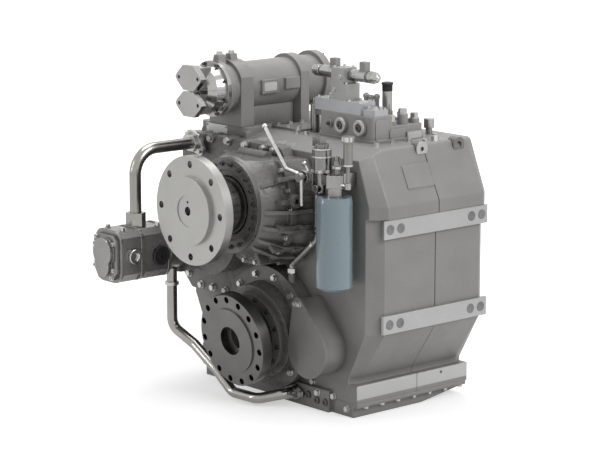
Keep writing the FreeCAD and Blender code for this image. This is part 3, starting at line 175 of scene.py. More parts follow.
class FinishSheet(NodeSheet):
    """The node tree of one material."""

    def __init__(self, name: str) -> None:
        """Start a material with its shader and object coordinates.

        Args:
            name: The material's name.
        """
        self.material = bpy.data.materials.new(name)
        self.material.use_nodes = True
        super().__init__(self.material.node_tree)
        self.shader = self.tree.nodes["Principled BSDF"]
        self.place = self.node("ShaderNodeTexCoord", output="Object")

    def noise(self, scale: float, detail: float = 3.0, place: Optional[Value] = None) -> Value:
        """Cloudy pattern from 0 to 1, with scale in cells per metre."""
        return self.node("ShaderNodeTexNoise", {},
                         {"Vector": place or self.place, "Scale": scale, "Detail": detail})

    def stretched(self, stretch: Point, centre: Point = (0, 0, 0)) -> Value:
        """Object coordinates moved to a centre and scaled by axis."""
        moved = tuple(-c * s for c, s in zip(centre, stretch))
        return self.node("ShaderNodeMapping", {},
                         {"Vector": self.place, "Scale": stretch, "Location": moved})

    def axis(self, index: int, place: Optional[Value] = None) -> Value:
        """One of the object coordinates, in metres."""
        return self.node("ShaderNodeSeparateXYZ", {}, {0: place or self.place}, index)

    def blend(self, mask: Number, first: Any, second: Any) -> Value:
        """Mix two colours by a mask."""
        first, second = ((*c, 1.0) if isinstance(c, tuple) else c for c in (first, second))
        return self.node("ShaderNodeMix", {"data_type": "RGBA"},
                         {0: mask, 6: first, 7: second}, 2)

    def from_axis(self, centre: Point, axis: Point) -> Value:
        """Distance from a line, in metres."""
        offset = self.node("ShaderNodeVectorMath", {"operation": "SUBTRACT"},
                           {0: self.place, 1: centre})
        across = self.node("ShaderNodeVectorMath", {"operation": "CROSS_PRODUCT"},
                           {0: offset, 1: axis})
        return self.node("ShaderNodeVectorMath", {"operation": "LENGTH"}, {0: across}, 1)

    def inside(self, low: Point, high: Point) -> Value:
        """1 inside a box, otherwise 0; a limit as large as FAR is none."""
        mask: Number = 1.0
        for index in range(3):
            if low[index] > -FAR:
                mask = (self.axis(index) > low[index]) * mask
            if high[index] < FAR:
                mask = (self.axis(index) < high[index]) * mask
        return mask

    def set(self, name: str, value: Any) -> None:
        """Give the shader a value or a link."""
        socket = self.shader.inputs[name]
        if isinstance(value, Value):
            self.tree.links.new(value.socket, socket)
        elif isinstance(value, tuple):
            socket.default_value = (*value, 1.0)
        else:
            socket.default_value = value


@dataclass(frozen=True)
class Zone:
    """A box of a surface that has another look, such as a machined face."""

    low: Point
    high: Point
    colour: Colour
    metallic: float
    roughness: float


@dataclass(frozen=True)
class Finish:
    """A surface with soft edges, small colour changes, painted shade in corners, painted
    highlights on edges and a fine grain.
    """

    name: str
    colour: Colour
    roughness: float = 0.5
    metallic: float = 0.0
    mottle: float = 0.08
    grain: float = 0.00012
    grain_scale: float = 700.0
    edge: float = 0.0015
    coat: float = 0.0
    # Painted shade: how much ambient occlusion darkens corners and crevices.
    painted_shade: float = 0.0
    # Painted highlight: how much lighter the edges are, found from the bevelled normal.
    painted_edge_highlight: float = 0.0
    zones: tuple[Zone, ...] = ()
    coat_roughness: float = 0.12
    # Reach and darkness of the painted corner shade.
    nook_depth: float = 0.03
    nook_shade: float = 0.4
    # Brightness of the painted edge highlight.
    rim_light: float = 1.9
    cloud_scale: float = 9.0
    speck_scale: float = 130.0
    gloss_scale: float = 38.0

    @cache
    def material(self) -> bpy.types.Material:
        """The material, whose nodes are drawn when it is first asked for."""
        sheet = FinishSheet(self.name)
        colour = self.tint(sheet)
        gloss = self.gloss(sheet)
        metal: Number = self.metallic
        for zone in self.zones:
            mask = sheet.inside(zone.low, zone.high)
            colour = sheet.blend(mask, colour, zone.colour)
            gloss = gloss + mask * (zone.roughness - self.roughness)
            metal = mask * (zone.metallic - self.metallic) + metal
        sheet.set("Base Color", colour)
        sheet.set("Roughness", gloss)
        sheet.set("Metallic", metal)
        sheet.set("Coat Weight", self.coat)
        sheet.set("Coat Roughness", self.coat_roughness)
        sheet.set("Normal", self.relief(sheet))
        return sheet.material

    def tint(self, sheet: FinishSheet) -> Value:
        """Colour that drifts slowly, with painted shade darkening its corners and painted
        highlights lightening its edges.
        """
        cloud = (sheet.noise(self.cloud_scale, 4.0) * 0.7
                 + sheet.noise(self.speck_scale, 2.0) * 0.3)
        dark = tuple(c * (1 - self.mottle) for c in self.colour)
        light = tuple(c * (1 + self.mottle) for c in self.colour)
        colour = sheet.blend(sheet.spread(cloud, 0.32, 0.68), dark, light)
        # Painted shade: ambient occlusion darkens the colour in corners and crevices.
        if self.painted_shade:
            nook = sheet.node("ShaderNodeAmbientOcclusion", SAMPLES,
                              {"Distance": self.nook_depth}, "AO")
            shade = tuple(c * self.nook_shade for c in self.colour)
            colour = sheet.blend((1 - nook.power(1.5)) * self.painted_shade, colour, shade)
        # Painted highlight: edges, where the bevelled normal turns from the true one, are
        # lightened.
        if self.painted_edge_highlight:
            soft = sheet.node("ShaderNodeBevel", SAMPLES, {"Radius": self.edge * 0.8})
            flat = sheet.node("ShaderNodeNewGeometry", output="True Normal")
            turn = sheet.node("ShaderNodeVectorMath", {"operation": "DOT_PRODUCT"},
                              {0: soft, 1: flat}, 1)
            rim = sheet.spread(turn, 0.995, 0.9) * self.painted_edge_highlight
            light = tuple(min(1.0, c * self.rim_light) for c in self.colour)
            colour = sheet.blend(rim, colour, light)
        return colour

    def gloss(self, sheet: FinishSheet) -> Value:
        """Roughness that changes a little from patch to patch."""
        return sheet.spread(sheet.noise(self.gloss_scale, 3.0), 0.3, 0.7,
                            self.roughness * 0.86, self.roughness * 1.14)

    def height(self, sheet: FinishSheet) -> Value:
        """Height of the fine grain, from 0 to 1."""
        return sheet.noise(self.grain_scale, 4.0)

    def relief(self, sheet: FinishSheet) -> Value:
        """Normal with rounded edges and the fine grain."""
        rounded = sheet.node("ShaderNodeBevel", SAMPLES, {"Radius": self.edge})
        return sheet.node("ShaderNodeBump", {},
                          {"Height": self.height(sheet), "Distance": self.grain,
                           "Strength": 1.0, "Normal": rounded})


@dataclass(frozen=True)
class CastPaint(Finish):
    """Grey paint over a sand casting, with the mould's lumps under it."""

    lump: float = 0.0006
    lump_scale: float = 60.0

    def height(self, sheet: FinishSheet) -> Value:
        """Soft lumps of the mould under the orange peel of the paint."""
        lumps = sheet.noise(self.lump_scale, 2.0) * (self.lump / self.grain)
        return sheet.noise(self.grain_scale, 3.0) + lumps


class ToolMark(Enum):
    """How a metal surface was worked."""

    TURNED = "turned"
    MILLED = "milled"
    DRAWN = "drawn"
    BLASTED = "blasted"


# Cells per metre across and along the lines of a tool, and the noise's detail
LINES = {ToolMark.MILLED: (900.0, 18.0, 3.0), ToolMark.DRAWN: (1400.0, 60.0, 2.0)}


@dataclass(frozen=True)
class Metal(Finish):
    """Bare metal that shows the marks of its tool."""

    mark: ToolMark = ToolMark.BLASTED
    centre: Point = (0.0, 0.0, 0.0)
    direction: Point = (0.0, 1.0, 0.0)
    pitch: float = 0.0011
    metallic: float = 1.0

    def height(self, sheet: FinishSheet) -> Value:
        """Rings, lines or grit, after the tool that cut the surface."""
        if self.mark is ToolMark.TURNED:
            radius = sheet.from_axis(self.centre, self.direction)
            waver = sheet.noise(25.0, 2.0) * 0.0008
            return (((radius + waver) * (2 * math.pi / self.pitch)).wave() * 0.5
                    + sheet.noise(500.0, 2.0) * 0.5)
        if self.mark in LINES:
            across, along, detail = LINES[self.mark]
            lines = sheet.stretched(tuple(across if d == 0 else along for d in self.direction))
            return sheet.noise(1.0, detail, lines)
        return sheet.noise(self.grain_scale, 5.0)


@dataclass(frozen=True)
class Pleats(Finish):
    """Paper folded into pleats round an upright axis."""

    centre: Point = (0.36, 0.27, 0.0)
    count: int = 60

    def height(self, sheet: FinishSheet) -> Value:
        """Folds that run up the paper."""
        place = sheet.stretched((1, 1, 1), self.centre)
        x, y = sheet.axis(0, place), sheet.axis(1, place)
        angle = sheet.node("ShaderNodeMath", {"operation": "ARCTAN2"}, {0: y, 1: x})
        return abs((angle * (self.count / 2)).wave())


BARE: tuple[Colour, float, float] = ((0.47, 0.468, 0.465), 0.7, 0.38)
FOOT_STRIPS = tuple(Zone((low, -FAR, -0.5855), (high, FAR, -0.5405), *BARE)
                    for low, high in ((0.3785, FAR), (-FAR, -0.3785)))
SEAM = Zone((-FAR, 0.6035, -0.34), (FAR, 0.6065, FAR), (0.06, 0.058, 0.056), 0.0, 0.6)
# In each finish, the amount of corner darkening is painted shade and the amount of edge
# lightening is a painted highlight.
CASING_PAINT = CastPaint("casing_paint", PAINT_GREY, 0.4, edge=0.007, painted_shade=0.5,
                         grain=0.0001, painted_edge_highlight=0.5, zones=(*FOOT_STRIPS, SEAM))
HOUSING_PAINT = CastPaint("housing_paint", (0.165, 0.158, 0.151), 0.28, edge=0.004, painted_shade=0.9,
                          mottle=0.14, lump=0.0014, painted_edge_highlight=0.8)
COVER_PAINT = CastPaint("cover_paint", (0.18, 0.174, 0.168), 0.32, edge=0.003, painted_shade=0.6,
                        painted_edge_highlight=0.9,
                        zones=(Zone((0.4035, 0.56, -FAR), (FAR, 0.63, FAR), *BARE),
                               Zone((-FAR, 0.56, -FAR), (-0.4035, 0.63, FAR), *BARE)))
COOLER_PAINT = CastPaint("cooler_paint", (0.28, 0.272, 0.264), 0.34, edge=0.004, painted_shade=0.4,
                         lump=0.0009, painted_edge_highlight=0.4)
CONTROL_PAINT = CastPaint("control_paint", (0.33, 0.32, 0.315), 0.38, edge=0.003, painted_shade=0.6,
                          painted_edge_highlight=0.6,
                          zones=(Zone((0.296, -FAR, -FAR), (FAR, FAR, FAR), *BARE),
                                 Zone((-FAR, 0.47, 0.205), (FAR, 0.4822, 0.262), *BARE)))
FLANGE_STEEL = Metal("flange_steel", (0.42, 0.417, 0.4), 0.34, mark=ToolMark.TURNED,
                     grain=0.00001, edge=0.0008, mottle=0.04,
                     zones=(Zone((-FAR, 0.036, -FAR), (FAR, FAR, FAR), (0.25, 0.242, 0.23),
                                 1.0, 0.22),))
OUTPUT_STEEL = Metal("output_steel", (0.16, 0.158, 0.153), 0.32, mark=ToolMark.TURNED,
                     centre=OUTPUT_FACE, direction=OUTPUT_AXIS, grain=0.00002, mottle=0.1)
COVER_STEEL = Metal("cover_steel", (0.2, 0.194, 0.186), 0.3, mark=ToolMark.TURNED,
                    grain=0.00003, mottle=0.18, painted_shade=0.8, metallic=0.6, painted_edge_highlight=0.5)
SHAFT_STEEL = Metal("shaft_steel", (0.3, 0.29, 0.28), 0.34, grain=0.00002, grain_scale=300.0)
GEAR_STEEL = Metal("gear_steel", (0.36, 0.355, 0.35), 0.28, grain=0.00002, grain_scale=300.0)
RAIL_STEEL = Metal("rail_steel", (0.43, 0.429, 0.428), 0.4, mark=ToolMark.MILLED,
                   grain=0.00003, edge=0.001, mottle=0.05, metallic=0.75)
BOLT_STEEL = Metal("bolt_steel", (0.56, 0.55, 0.53), 0.3, grain=0.00002, edge=0.0004,
                   mottle=0.16)
# Dark steel of the dark screws and bands, also used for the discs of painted shade in holes.
DARK_BOLT_AND_HOLE_SHADE = Metal("dark_bolt", (0.13, 0.125, 0.12), 0.4, grain=0.00002, edge=0.0004)
PIPE_STEEL = Metal("pipe_steel", (0.33, 0.32, 0.3), 0.2, mark=ToolMark.DRAWN,
                   direction=(0, 0, 1), grain=0.00001, edge=0.0005, mottle=0.06)
CAST_ALLOY = Metal("cast_alloy", (0.34, 0.333, 0.32), 0.26, grain=0.00012, grain_scale=520.0,
                   edge=0.002, mottle=0.12, painted_shade=0.9, painted_edge_highlight=0.9)
PUMP_ALLOY = Metal("pump_alloy", (0.3, 0.292, 0.28), 0.3, grain=0.00014, grain_scale=420.0,
                   edge=0.003, mottle=0.14, painted_shade=0.8, painted_edge_highlight=0.8, metallic=0.8)
SENSOR_STEEL = Metal("sensor_steel", (0.26, 0.26, 0.245), 0.2, grain=0.000004, edge=0.001,
                     mottle=0.03, painted_shade=0.9, painted_edge_highlight=0.9)
LUBE_STEEL = Metal("lube_steel", (0.4, 0.39, 0.37), 0.42, grain=0.00001, edge=0.0005,
                   metallic=0.7)
CHROME = Metal("chrome", (0.44, 0.44, 0.425), 0.16, grain=0.000002, edge=0.001, mottle=0.02,
               painted_shade=0.6,
               zones=(Zone((0.18, 0.52, 0.4), (0.26, 0.56, FAR), (0.3, 0.3, 0.29), 0.0, 0.5),
                      Zone((0.04, 0.52, 0.402), (0.082, 0.56, FAR), (0.3, 0.3, 0.29), 0.0, 0.5)))
CAP_ALLOY = Metal("cap_alloy", (0.46, 0.455, 0.44), 0.2, grain=0.00004, grain_scale=240.0,
                  edge=0.002, mottle=0.08, painted_shade=0.6)
PAD_ALLOY = Metal("pad_alloy", (0.62, 0.62, 0.63), 0.4, mark=ToolMark.MILLED,
                  direction=(0, 1, 0), grain=0.00002, edge=0.0006, metallic=0.5)
VALVE_ALLOY = Metal("valve_alloy", (0.4, 0.4, 0.385), 0.42, mark=ToolMark.MILLED,
                    direction=(0, 0, 1), grain=0.00003, edge=0.001, mottle=0.04, metallic=0.6)
MANIFOLD_ALLOY = Metal("manifold_alloy", (0.47, 0.475, 0.5), 0.4, mark=ToolMark.MILLED,
                       direction=(1, 0, 0), grain=0.00003, edge=0.001, metallic=0.55)
CAP_PLASTIC = Finish("cap_plastic", (0.19, 0.19, 0.195), 0.5, grain=0.0004, grain_scale=260.0,
                     mottle=0.3)
CHROME_RING = Metal("chrome_ring", (0.62, 0.62, 0.6), 0.16, grain=0.000002, edge=0.001,
                    mottle=0.02)
CANISTER_PAINT = Finish("canister_paint", (0.175, 0.237, 0.265), 0.3, mottle=0.0,
                        grain=0.000008, coat=0.8, edge=0.002, painted_shade=0.5)
BLACK_PLASTIC = Finish("black_plastic", (0.012, 0.012, 0.013), 0.42, grain=0.00003)
SEAL_RUBBER = Finish("seal_rubber", (0.02, 0.02, 0.02), 0.6)
LINING = Finish("clutch_lining", (0.13, 0.09, 0.055), 0.8, mottle=0.25, grain=0.0003)
PAPER = Pleats("filter_paper", (0.62, 0.5, 0.3), 0.8, grain=0.002)
BRASS = Metal("cooler_brass", (0.62, 0.42, 0.16), 0.3)

NODE_FINISHES: dict[Finish, tuple[str, ...]] = {
    CASING_PAINT: ("front_casing", "rear_casing", "sump_pan"),
    HOUSING_PAINT: ("front_housing", "output_housing"),
    COVER_PAINT: ("side_cover", "rear_covers", "output_bearing_cover", "lifting_eyes"),
    COOLER_PAINT: ("cooler_shell", "cooler_rear_cap"),
    CONTROL_PAINT: ("control_housing",),
    FLANGE_STEEL: ("input_flange",),
    OUTPUT_STEEL: ("output_flange",),
    COVER_STEEL: ("input_bearing_cover",),
    SHAFT_STEEL: ("input_shaft", "output_shaft", "reverse_shaft", "pump_shaft", "idler_pin",
                  "roller_bearings"),
    GEAR_STEEL: ("output_gear", "ahead_pinion", "reverse_pinion", "pump_drive_gear",
                 "pump_idler_gear", "ahead_drum", "reverse_drum", "ahead_piston",
                 "reverse_piston", "ahead_steel_plates", "reverse_steel_plates"),
    RAIL_STEEL: ("mounting_rails",),
    BOLT_STEEL: ("casing_bolts", "screw_plugs", "changeover_lever", "drain_lever"),
    PIPE_STEEL: ("suction_pipe", "pressure_pipe", "pipe_fittings"),
    LUBE_STEEL: ("lube_pipe",),
    PUMP_ALLOY: ("pump_valve_case", "pump_body", "pump_cover"),
    CAST_ALLOY: ("filter_head", "changeover_valve", "drain_valve"),
    CAP_ALLOY: ("cooler_front_cap",),
    CHROME: ("solenoids", "filler_neck_and_breather"),
    SENSOR_STEEL: ("pressure_sensors",),
    VALVE_ALLOY: ("valve_block",),
    MANIFOLD_ALLOY: ("valve_manifold",),
    CANISTER_PAINT: ("filter_canister",),
    BLACK_PLASTIC: ("filler_cap",),
    SEAL_RUBBER: ("shaft_seals",),
    LINING: ("ahead_lined_plates", "reverse_lined_plates"),
    PAPER: ("filter_element",),
    BRASS: ("cooler_tubes",),
}


def dress_nodes() -> None:
    """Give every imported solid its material."""
    for finish, names in NODE_FINISHES.items():
        for name in names:
            solid = frame["nodes"][name]
            if not solid.material_slots:
                solid.data.materials.append(None)
            for slot in solid.material_slots:
                slot.link = "OBJECT"
                slot.material = finish.material()
            log.info("dressed %s in %s", name, finish.name)


def add_object(name: str, data: bpy.types.ID) -> bpy.types.Object:
    """Put a mesh, a lamp or a camera in the scene."""
    made = bpy.data.objects.new(name, data)
    bpy.context.scene.collection.objects.link(made)
    return made


def hand_in(piece: bpy.types.Object, body: str = ROOT, replaced: str = "") -> None:
    """Set a finished piece on its body.

    Args:
        piece: The piece.
        body: The body it rides on.
        replaced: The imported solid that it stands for, if any.
    """
    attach(piece, body)
    if replaced:
        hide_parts(replaced)
    log.info("%s: %d faces on %s", piece.name, len(piece.data.polygons), body)


def millimetres(*values: float) -> Vector:
    """A point or length given in millimetres, in metres."""
    return Vector(values) / 1000


def spoke(angle: float) -> Vector:
    """Unit vector across the input axis at an angle from the right, in radians."""
    return Vector((math.cos(angle), 0, math.sin(angle)))


@dataclass(frozen=True)
class Head:
    """One fastener: its seat, its direction, its width across flats and its height.

    A height of 0 leaves it in proportion to the width.
    """

    seat: Vector
    aim: Vector
    size: float
    length: float = 0.0


class Drive(Enum):
    """What the key fits."""

    HEXAGON = "hexagon"
    SOCKET = "socket"
    RIM = "rim"


class FastenerTree(NodeSheet):
    """Geometry nodes that put one kind of fastener on every point of a mesh."""

    INPUTS = {"Head height": 0.62, "Washer radius": 0.66, "Washer height": 0.1}
    CHAMFER = 0.05
    CROWN = 0.46
    CORNER = 0.577
    KEY_RADIUS = 0.29
    KEY_FLOOR = 0.45
    KEY_DEPTH = 0.7
    FULL_TURN = 6.28
    SEED = 7

    def __init__(self, drive: Drive, finish: Finish) -> None:
        """Build the tree.

        Args:
            drive: The kind of head.
            finish: The look of the fasteners.
        """
        super().__init__(bpy.data.node_groups.new(f"{drive.value}_heads", "GeometryNodeTree"))
        self.drive = drive
        face = self.tree.interface
        face.new_socket("Geometry", in_out="INPUT", socket_type="NodeSocketGeometry")
        for name, value in self.INPUTS.items():
            socket = face.new_socket(name, in_out="INPUT", socket_type="NodeSocketFloat")
            socket.default_value = value
        seed = face.new_socket("Seed", in_out="INPUT", socket_type="NodeSocketInt")
        seed.default_value = self.SEED
        face.new_socket("Geometry", in_out="OUTPUT", socket_type="NodeSocketGeometry")
        self.entry = self.tree.nodes.new("NodeGroupInput")
        self._lay_out(finish.material())

    def _given(self, name: str) -> Value:
        """One of the tree's own inputs."""
        return Value(self, self.entry.outputs[name])

    def _disc(self, sides: int, radius: Number, height: Number, base: Number) -> Value:
        """A closed prism that stands on a height, as a mesh."""
        solid = self.node("GeometryNodeMeshCylinder", {},
                          {"Vertices": sides, "Radius": radius, "Depth": height}, "Mesh")
        half = self.node("ShaderNodeMath", {"operation": "MULTIPLY_ADD"},
                         {0: height, 1: 0.5, 2: base})
        offset = self.node("ShaderNodeCombineXYZ", {}, {"Z": half})
        return self.node("GeometryNodeTransform", {}, {"Geometry": solid, "Translation": offset})

    def _head(self) -> list[Value]:
        """The solids of one head of unit width, standing on the origin."""
        height = self._given("Head height")
        flat = self._disc(24, self._given("Washer radius"), self._given("Washer height"), 0.0)
        if self.drive is Drive.RIM:
            return [flat]
        if self.drive is Drive.HEXAGON:
            body = self._disc(6, self.CORNER, height, 0.0)
            return [flat, body, self._disc(18, self.CROWN, self.CHAMFER, height)]
        body = self._disc(20, 0.5, height, 0.0)
        hole = self._disc(6, self.KEY_RADIUS, self.KEY_DEPTH, height * self.KEY_FLOOR)
        return [flat, self.node("GeometryNodeMeshBoolean", {"operation": "DIFFERENCE"},
                                {0: body, 1: hole})]

    def _lay_out(self, material: bpy.types.Material) -> None:
        """Join the head's solids and set one on each point."""
        joined = self.node("GeometryNodeJoinGeometry", {}, {0: self._head()})
        aim, size = (self.node("GeometryNodeInputNamedAttribute", {"data_type": "FLOAT_VECTOR"},
                               {"Name": name}, "Attribute") for name in ("aim", "size"))
        turned = self.node("FunctionNodeAlignRotationToVector", {"axis": "Z"}, {"Vector": aim})
        chance = self.node("FunctionNodeRandomValue", {"data_type": "FLOAT"},
                           {"Min": 0.0, "Max": self.FULL_TURN, "Seed": self._given("Seed")},
                           "Value")
        spin = self.node("FunctionNodeAxisAngleToRotation", {},
                         {"Axis": (0, 0, 1), "Angle": chance})
        both = self.node("FunctionNodeRotateRotation", {"rotation_space": "LOCAL"},
                         {"Rotation": turned, "Rotate By": spin})
        placed = self.node("GeometryNodeInstanceOnPoints", {},
                           {"Points": self._given("Geometry"), "Instance": joined,
                            "Rotation": both, "Scale": size})
        real = self.node("GeometryNodeRealizeInstances", {}, {0: placed})
        coated = self.node("GeometryNodeSetMaterial", {},
                           {"Geometry": real, "Material": material})
        leave = self.tree.nodes.new("NodeGroupOutput")
        self.tree.links.new(coated.socket, leave.inputs[0])

    def place(self, name: str, heads: Sequence[Head], sizes: Mapping[str, float],
              slot: str = "bolt_steel", replaced: str = "") -> None:
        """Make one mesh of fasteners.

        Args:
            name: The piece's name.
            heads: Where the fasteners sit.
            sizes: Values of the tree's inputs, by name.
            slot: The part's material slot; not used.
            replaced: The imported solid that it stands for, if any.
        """
        mesh = bpy.data.meshes.new(name)
        mesh.from_pydata([h.seat for h in heads], [], [])
        aims = mesh.attributes.new("aim", "FLOAT_VECTOR", "POINT")
        aims.data.foreach_set("vector", [c for h in heads for c in h.aim])
        spans = mesh.attributes.new("size", "FLOAT_VECTOR", "POINT")
        unit = {**self.INPUTS, **sizes}["Head height"]
        unit += self.CHAMFER if self.drive is Drive.HEXAGON else 0.0
        spans.data.foreach_set("vector", [c for h in heads for c in (
            h.size, h.size, h.length / unit if h.length else h.size)])
        piece = add_object(name, mesh)
        modifier = piece.modifiers.new("heads", "NODES")
        modifier.node_group = self.tree
        for item in self.tree.interface.items_tree:
            if item.in_out == "INPUT" and item.name in sizes:
                modifier[item.identifier] = sizes[item.name]
        bpy.context.view_layer.update()
        ready = piece.evaluated_get(bpy.context.evaluated_depsgraph_get())
        solid = bpy.data.meshes.new_from_object(ready)
        piece.modifiers.remove(modifier)
        piece.data = solid
        hand_in(piece, replaced=replaced)


class Shape:
    """Builds one mesh piece from turned, extruded and swept parts."""

    SMOOTH = math.radians(35)

    def __init__(self, name: str) -> None:
        """Start an empty piece.

        Args:
            name: The piece's name.
        """
        self.name = name
        self.bm = bmesh.new()

    def turned(self, profile: Profile, base: Point, aim: Point, steps: int = 48) -> "Shape":
        """Turn a profile round an axis.

        Args:
            profile: Radius and height of each point; it starts and ends on the axis or
                returns to its start.
            base: The axis's foot.
            aim: The axis's direction.
            steps: Sides of the turning.

        Returns:
            This piece.
        """
        turn = Vector((0, 0, 1)).rotation_difference(Vector(aim)).to_matrix().to_4x4()
        place = Matrix.Translation(Vector(base)) @ turn
        rings: list[list[bmesh.types.BMVert]] = []
        for radius, height in profile:
            if radius < 1e-6:
                rings.append([self.bm.verts.new(place @ Vector((0, 0, height)))])
                continue
            rings.append([self.bm.verts.new(place @ Vector((
                radius * math.cos(2 * math.pi * i / steps),
                radius * math.sin(2 * math.pi * i / steps), height)))
                for i in range(steps)])
        closed = len(rings[0]) > 1
        for low, high in zip(rings, rings[1:] + (rings[:1] if closed else [])):
            for i in range(steps):
                corners = [low[i % len(low)], low[(i + 1) % len(low)],
                           high[(i + 1) % len(high)], high[i % len(high)]]
                corners = list(dict.fromkeys(corners))
                if len(corners) > 2:
                    self.bm.faces.new(corners)
        return self

    def ring(self, base: Point, aim: Point, inner: float, outer: float, length: float,
             steps: int = 32, chamfer: float = 0.001) -> None:
        """Add one ring with chamfered ends, sized in millimetres."""
        low, high, span = inner / 1000, outer / 1000, length / 1000
        self.turned([(low, 0), (high - chamfer, 0), (high, chamfer), (high, span - chamfer),
                     (high - chamfer, span), (low, span)], millimetres(*base), aim, steps)

    def prism(self, outline: Sequence[Point], depth: Point) -> None:
        """Push a flat outline along a direction."""
        low = [self.bm.verts.new(p) for p in outline]
        high = [self.bm.verts.new(Vector(p) + Vector(depth)) for p in outline]
        self.bm.faces.new(low)
        self.bm.faces.new(high)
        for i, corner in enumerate(low):
            j = (i + 1) % len(low)
            self.bm.faces.new((corner, low[j], high[j], high[i]))

    def rounded(self, centre: Point, across: Point, up: Point, aim: Point, radius: float,
                steps: int = 6) -> None:
        """Add one plate with rounded corners, sized in millimetres.

        Args:
            centre: Middle of its back face.
            across: Half its length, as a vector.
            up: Half its height, as a vector.
            aim: Its thickness, as a vector.
            radius: Corner radius.
            steps: Corners of each rounded corner.
        """
        along, rise = millimetres(*across), millimetres(*up)
        reach = radius / 1000
        outline = []
        for sx, sz, start in ((1, 1, 0), (-1, 1, 90), (-1, -1, 180), (1, -1, 270)):
            hub = (millimetres(*centre) + along * sx * (1 - reach / along.length)
                   + rise * sz * (1 - reach / rise.length))
            for i in range(steps + 1):
                angle = math.radians(start + 90 * i / steps)
                outline.append(hub + along.normalized() * reach * math.cos(angle)
                               + rise.normalized() * reach * math.sin(angle))
        self.prism(outline, millimetres(*aim))

    def block(self, low: Vector, high: Vector, round_edge: float = 0.0) -> "Shape":
        """Add a box, with its edges rounded if asked."""
        made = bmesh.ops.create_cube(self.bm, size=1.0)["verts"]
        middle, span = (low + high) / 2, high - low
        for vert in made:
            vert.co = middle + Vector(a * b for a, b in zip(vert.co, span))
        if round_edge:
            edges = {e for v in made for e in v.link_edges}
            bmesh.ops.bevel(self.bm, geom=list(edges), offset=round_edge, segments=2,
                            profile=0.5, affect="EDGES")
        return self

    def finish(self, finish: Finish, slot: str, body: str = ROOT, replaced: str = "") -> None:
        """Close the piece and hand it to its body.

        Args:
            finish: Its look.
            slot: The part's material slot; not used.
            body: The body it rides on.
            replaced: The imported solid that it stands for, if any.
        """
        bmesh.ops.recalc_face_normals(self.bm, faces=self.bm.faces)
        for face in self.bm.faces:
            face.smooth = True
        for edge in self.bm.edges:
            edge.smooth = (len(edge.link_faces) == 2
                           and edge.calc_face_angle(0.0) < self.SMOOTH)
        mesh = bpy.data.meshes.new(self.name)
        self.bm.to_mesh(mesh)
        self.bm.free()
        mesh.materials.append(finish.material())
        hand_in(add_object(self.name, mesh), body, replaced)


def merged_copy(name: str) -> bmesh.types.BMesh:
    """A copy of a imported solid's mesh with its loose triangles joined."""
    copy = bmesh.new()
    copy.from_mesh(frame["nodes"][name].data)
    bmesh.ops.remove_doubles(copy, verts=copy.verts, dist=1e-5)
    copy.verts.index_update()
    return copy


def islands(copy: bmesh.types.BMesh) -> list[list[bmesh.types.BMVert]]:
    """The separate shells of a mesh, each as its corners, in the same order on every run."""
    left = set(copy.verts)
    found = []
    while left:
        shell = {left.pop()}
        edge = list(shell)
        while edge:
            grown = {e.other_vert(v) for v in edge for e in v.link_edges} - shell
            shell |= grown
            edge = list(grown)
        left -= shell
        found.append(sorted(shell, key=lambda v: v.index))
    return sorted(found, key=lambda corners: corners[0].index)


@dataclass
class Fasteners:
    """The bolts and plugs on the outside, with chamfered heads and washers."""

    cover_screw: float = 0.0125
    widest_plug: float = 0.04
    flush: float = 0.0065

    def backing(self) -> BVHTree:
        """Surface of the fixed solids that bolts may sit on."""
        points: list[Vector] = []
        faces: list[tuple[int, ...]] = []
        for name, solid in frame["nodes"].items():
            if solid["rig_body"] != ROOT or name in ("casing_bolts", "screw_plugs"):
                continue
            start = len(points)
            points += [v.co.copy() for v in solid.data.vertices]
            faces += [tuple(start + i for i in p.vertices) for p in solid.data.polygons]
        return BVHTree.FromPolygons(points, faces)

    def read(self, node: str, ground: BVHTree) -> list[Head]:
        """Find the seat, direction and size of each hexagon of a solid.

        Args:
            node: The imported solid's name.
            ground: The surface they may sit on.

        Returns:
            One head for each hexagon.
        """
        copy = merged_copy(node)
        heads = []
        for shell in islands(copy):
            areas: dict[Point, float] = {}
            for face in dict.fromkeys(f for v in shell for f in v.link_faces):
                key = tuple(round(c, 2) + 0.0 for c in face.normal)
                areas[key] = areas.get(key, 0.0) + face.calc_area()
            axis = Vector(max(areas, key=lambda k: areas[k])).normalized()
            along = [v.co.dot(axis) for v in shell]
            middle = sum((v.co for v in shell), Vector()) / len(shell)
            length = max(along) - min(along)
            across = 2 * max((v.co - middle - axis * (v.co - middle).dot(axis)).length
                             for v in shell) * math.cos(math.pi / 6)
            ends = [middle + axis * (length / 2), middle - axis * (length / 2)]
            gaps = [ground.find_nearest(end)[3] for end in ends]
            seat = ends[0] if gaps[0] < gaps[1] else ends[1]
            heads.append(Head(seat, (middle - seat).normalized(), across, length))
        copy.free()
        return heads

    def build(self) -> None:
        """Replace the plain hexagons by chamfered heads."""
        ground = self.backing()
        hexagons = FastenerTree(Drive.HEXAGON, BOLT_STEEL)
        sockets = FastenerTree(Drive.SOCKET, DARK_BOLT_AND_HOLE_SHADE)
        bolts = self.read("casing_bolts", ground)
        plugs = [h for h in self.read("screw_plugs", ground) if h.size < self.widest_plug]
        hexagons.place("casing_bolt_heads", [h for h in bolts if h.size >= self.cover_screw],
                       {"Washer radius": 0.68, "Head height": 0.58}, replaced="casing_bolts")
        sockets.place("cover_screws", [h for h in bolts if h.size < self.cover_screw],
                      {"Head height": 0.6}, replaced="casing_bolts")
        hexagons.place("plug_heads", [h for h in plugs if h.length > self.flush],
                       {"Washer radius": 0.64, "Head height": 0.6}, replaced="screw_plugs")
        sockets.place("port_plugs", [h for h in plugs if h.length <= self.flush],
                      {"Head height": 0.27, "Washer radius": 0.55}, replaced="screw_plugs")


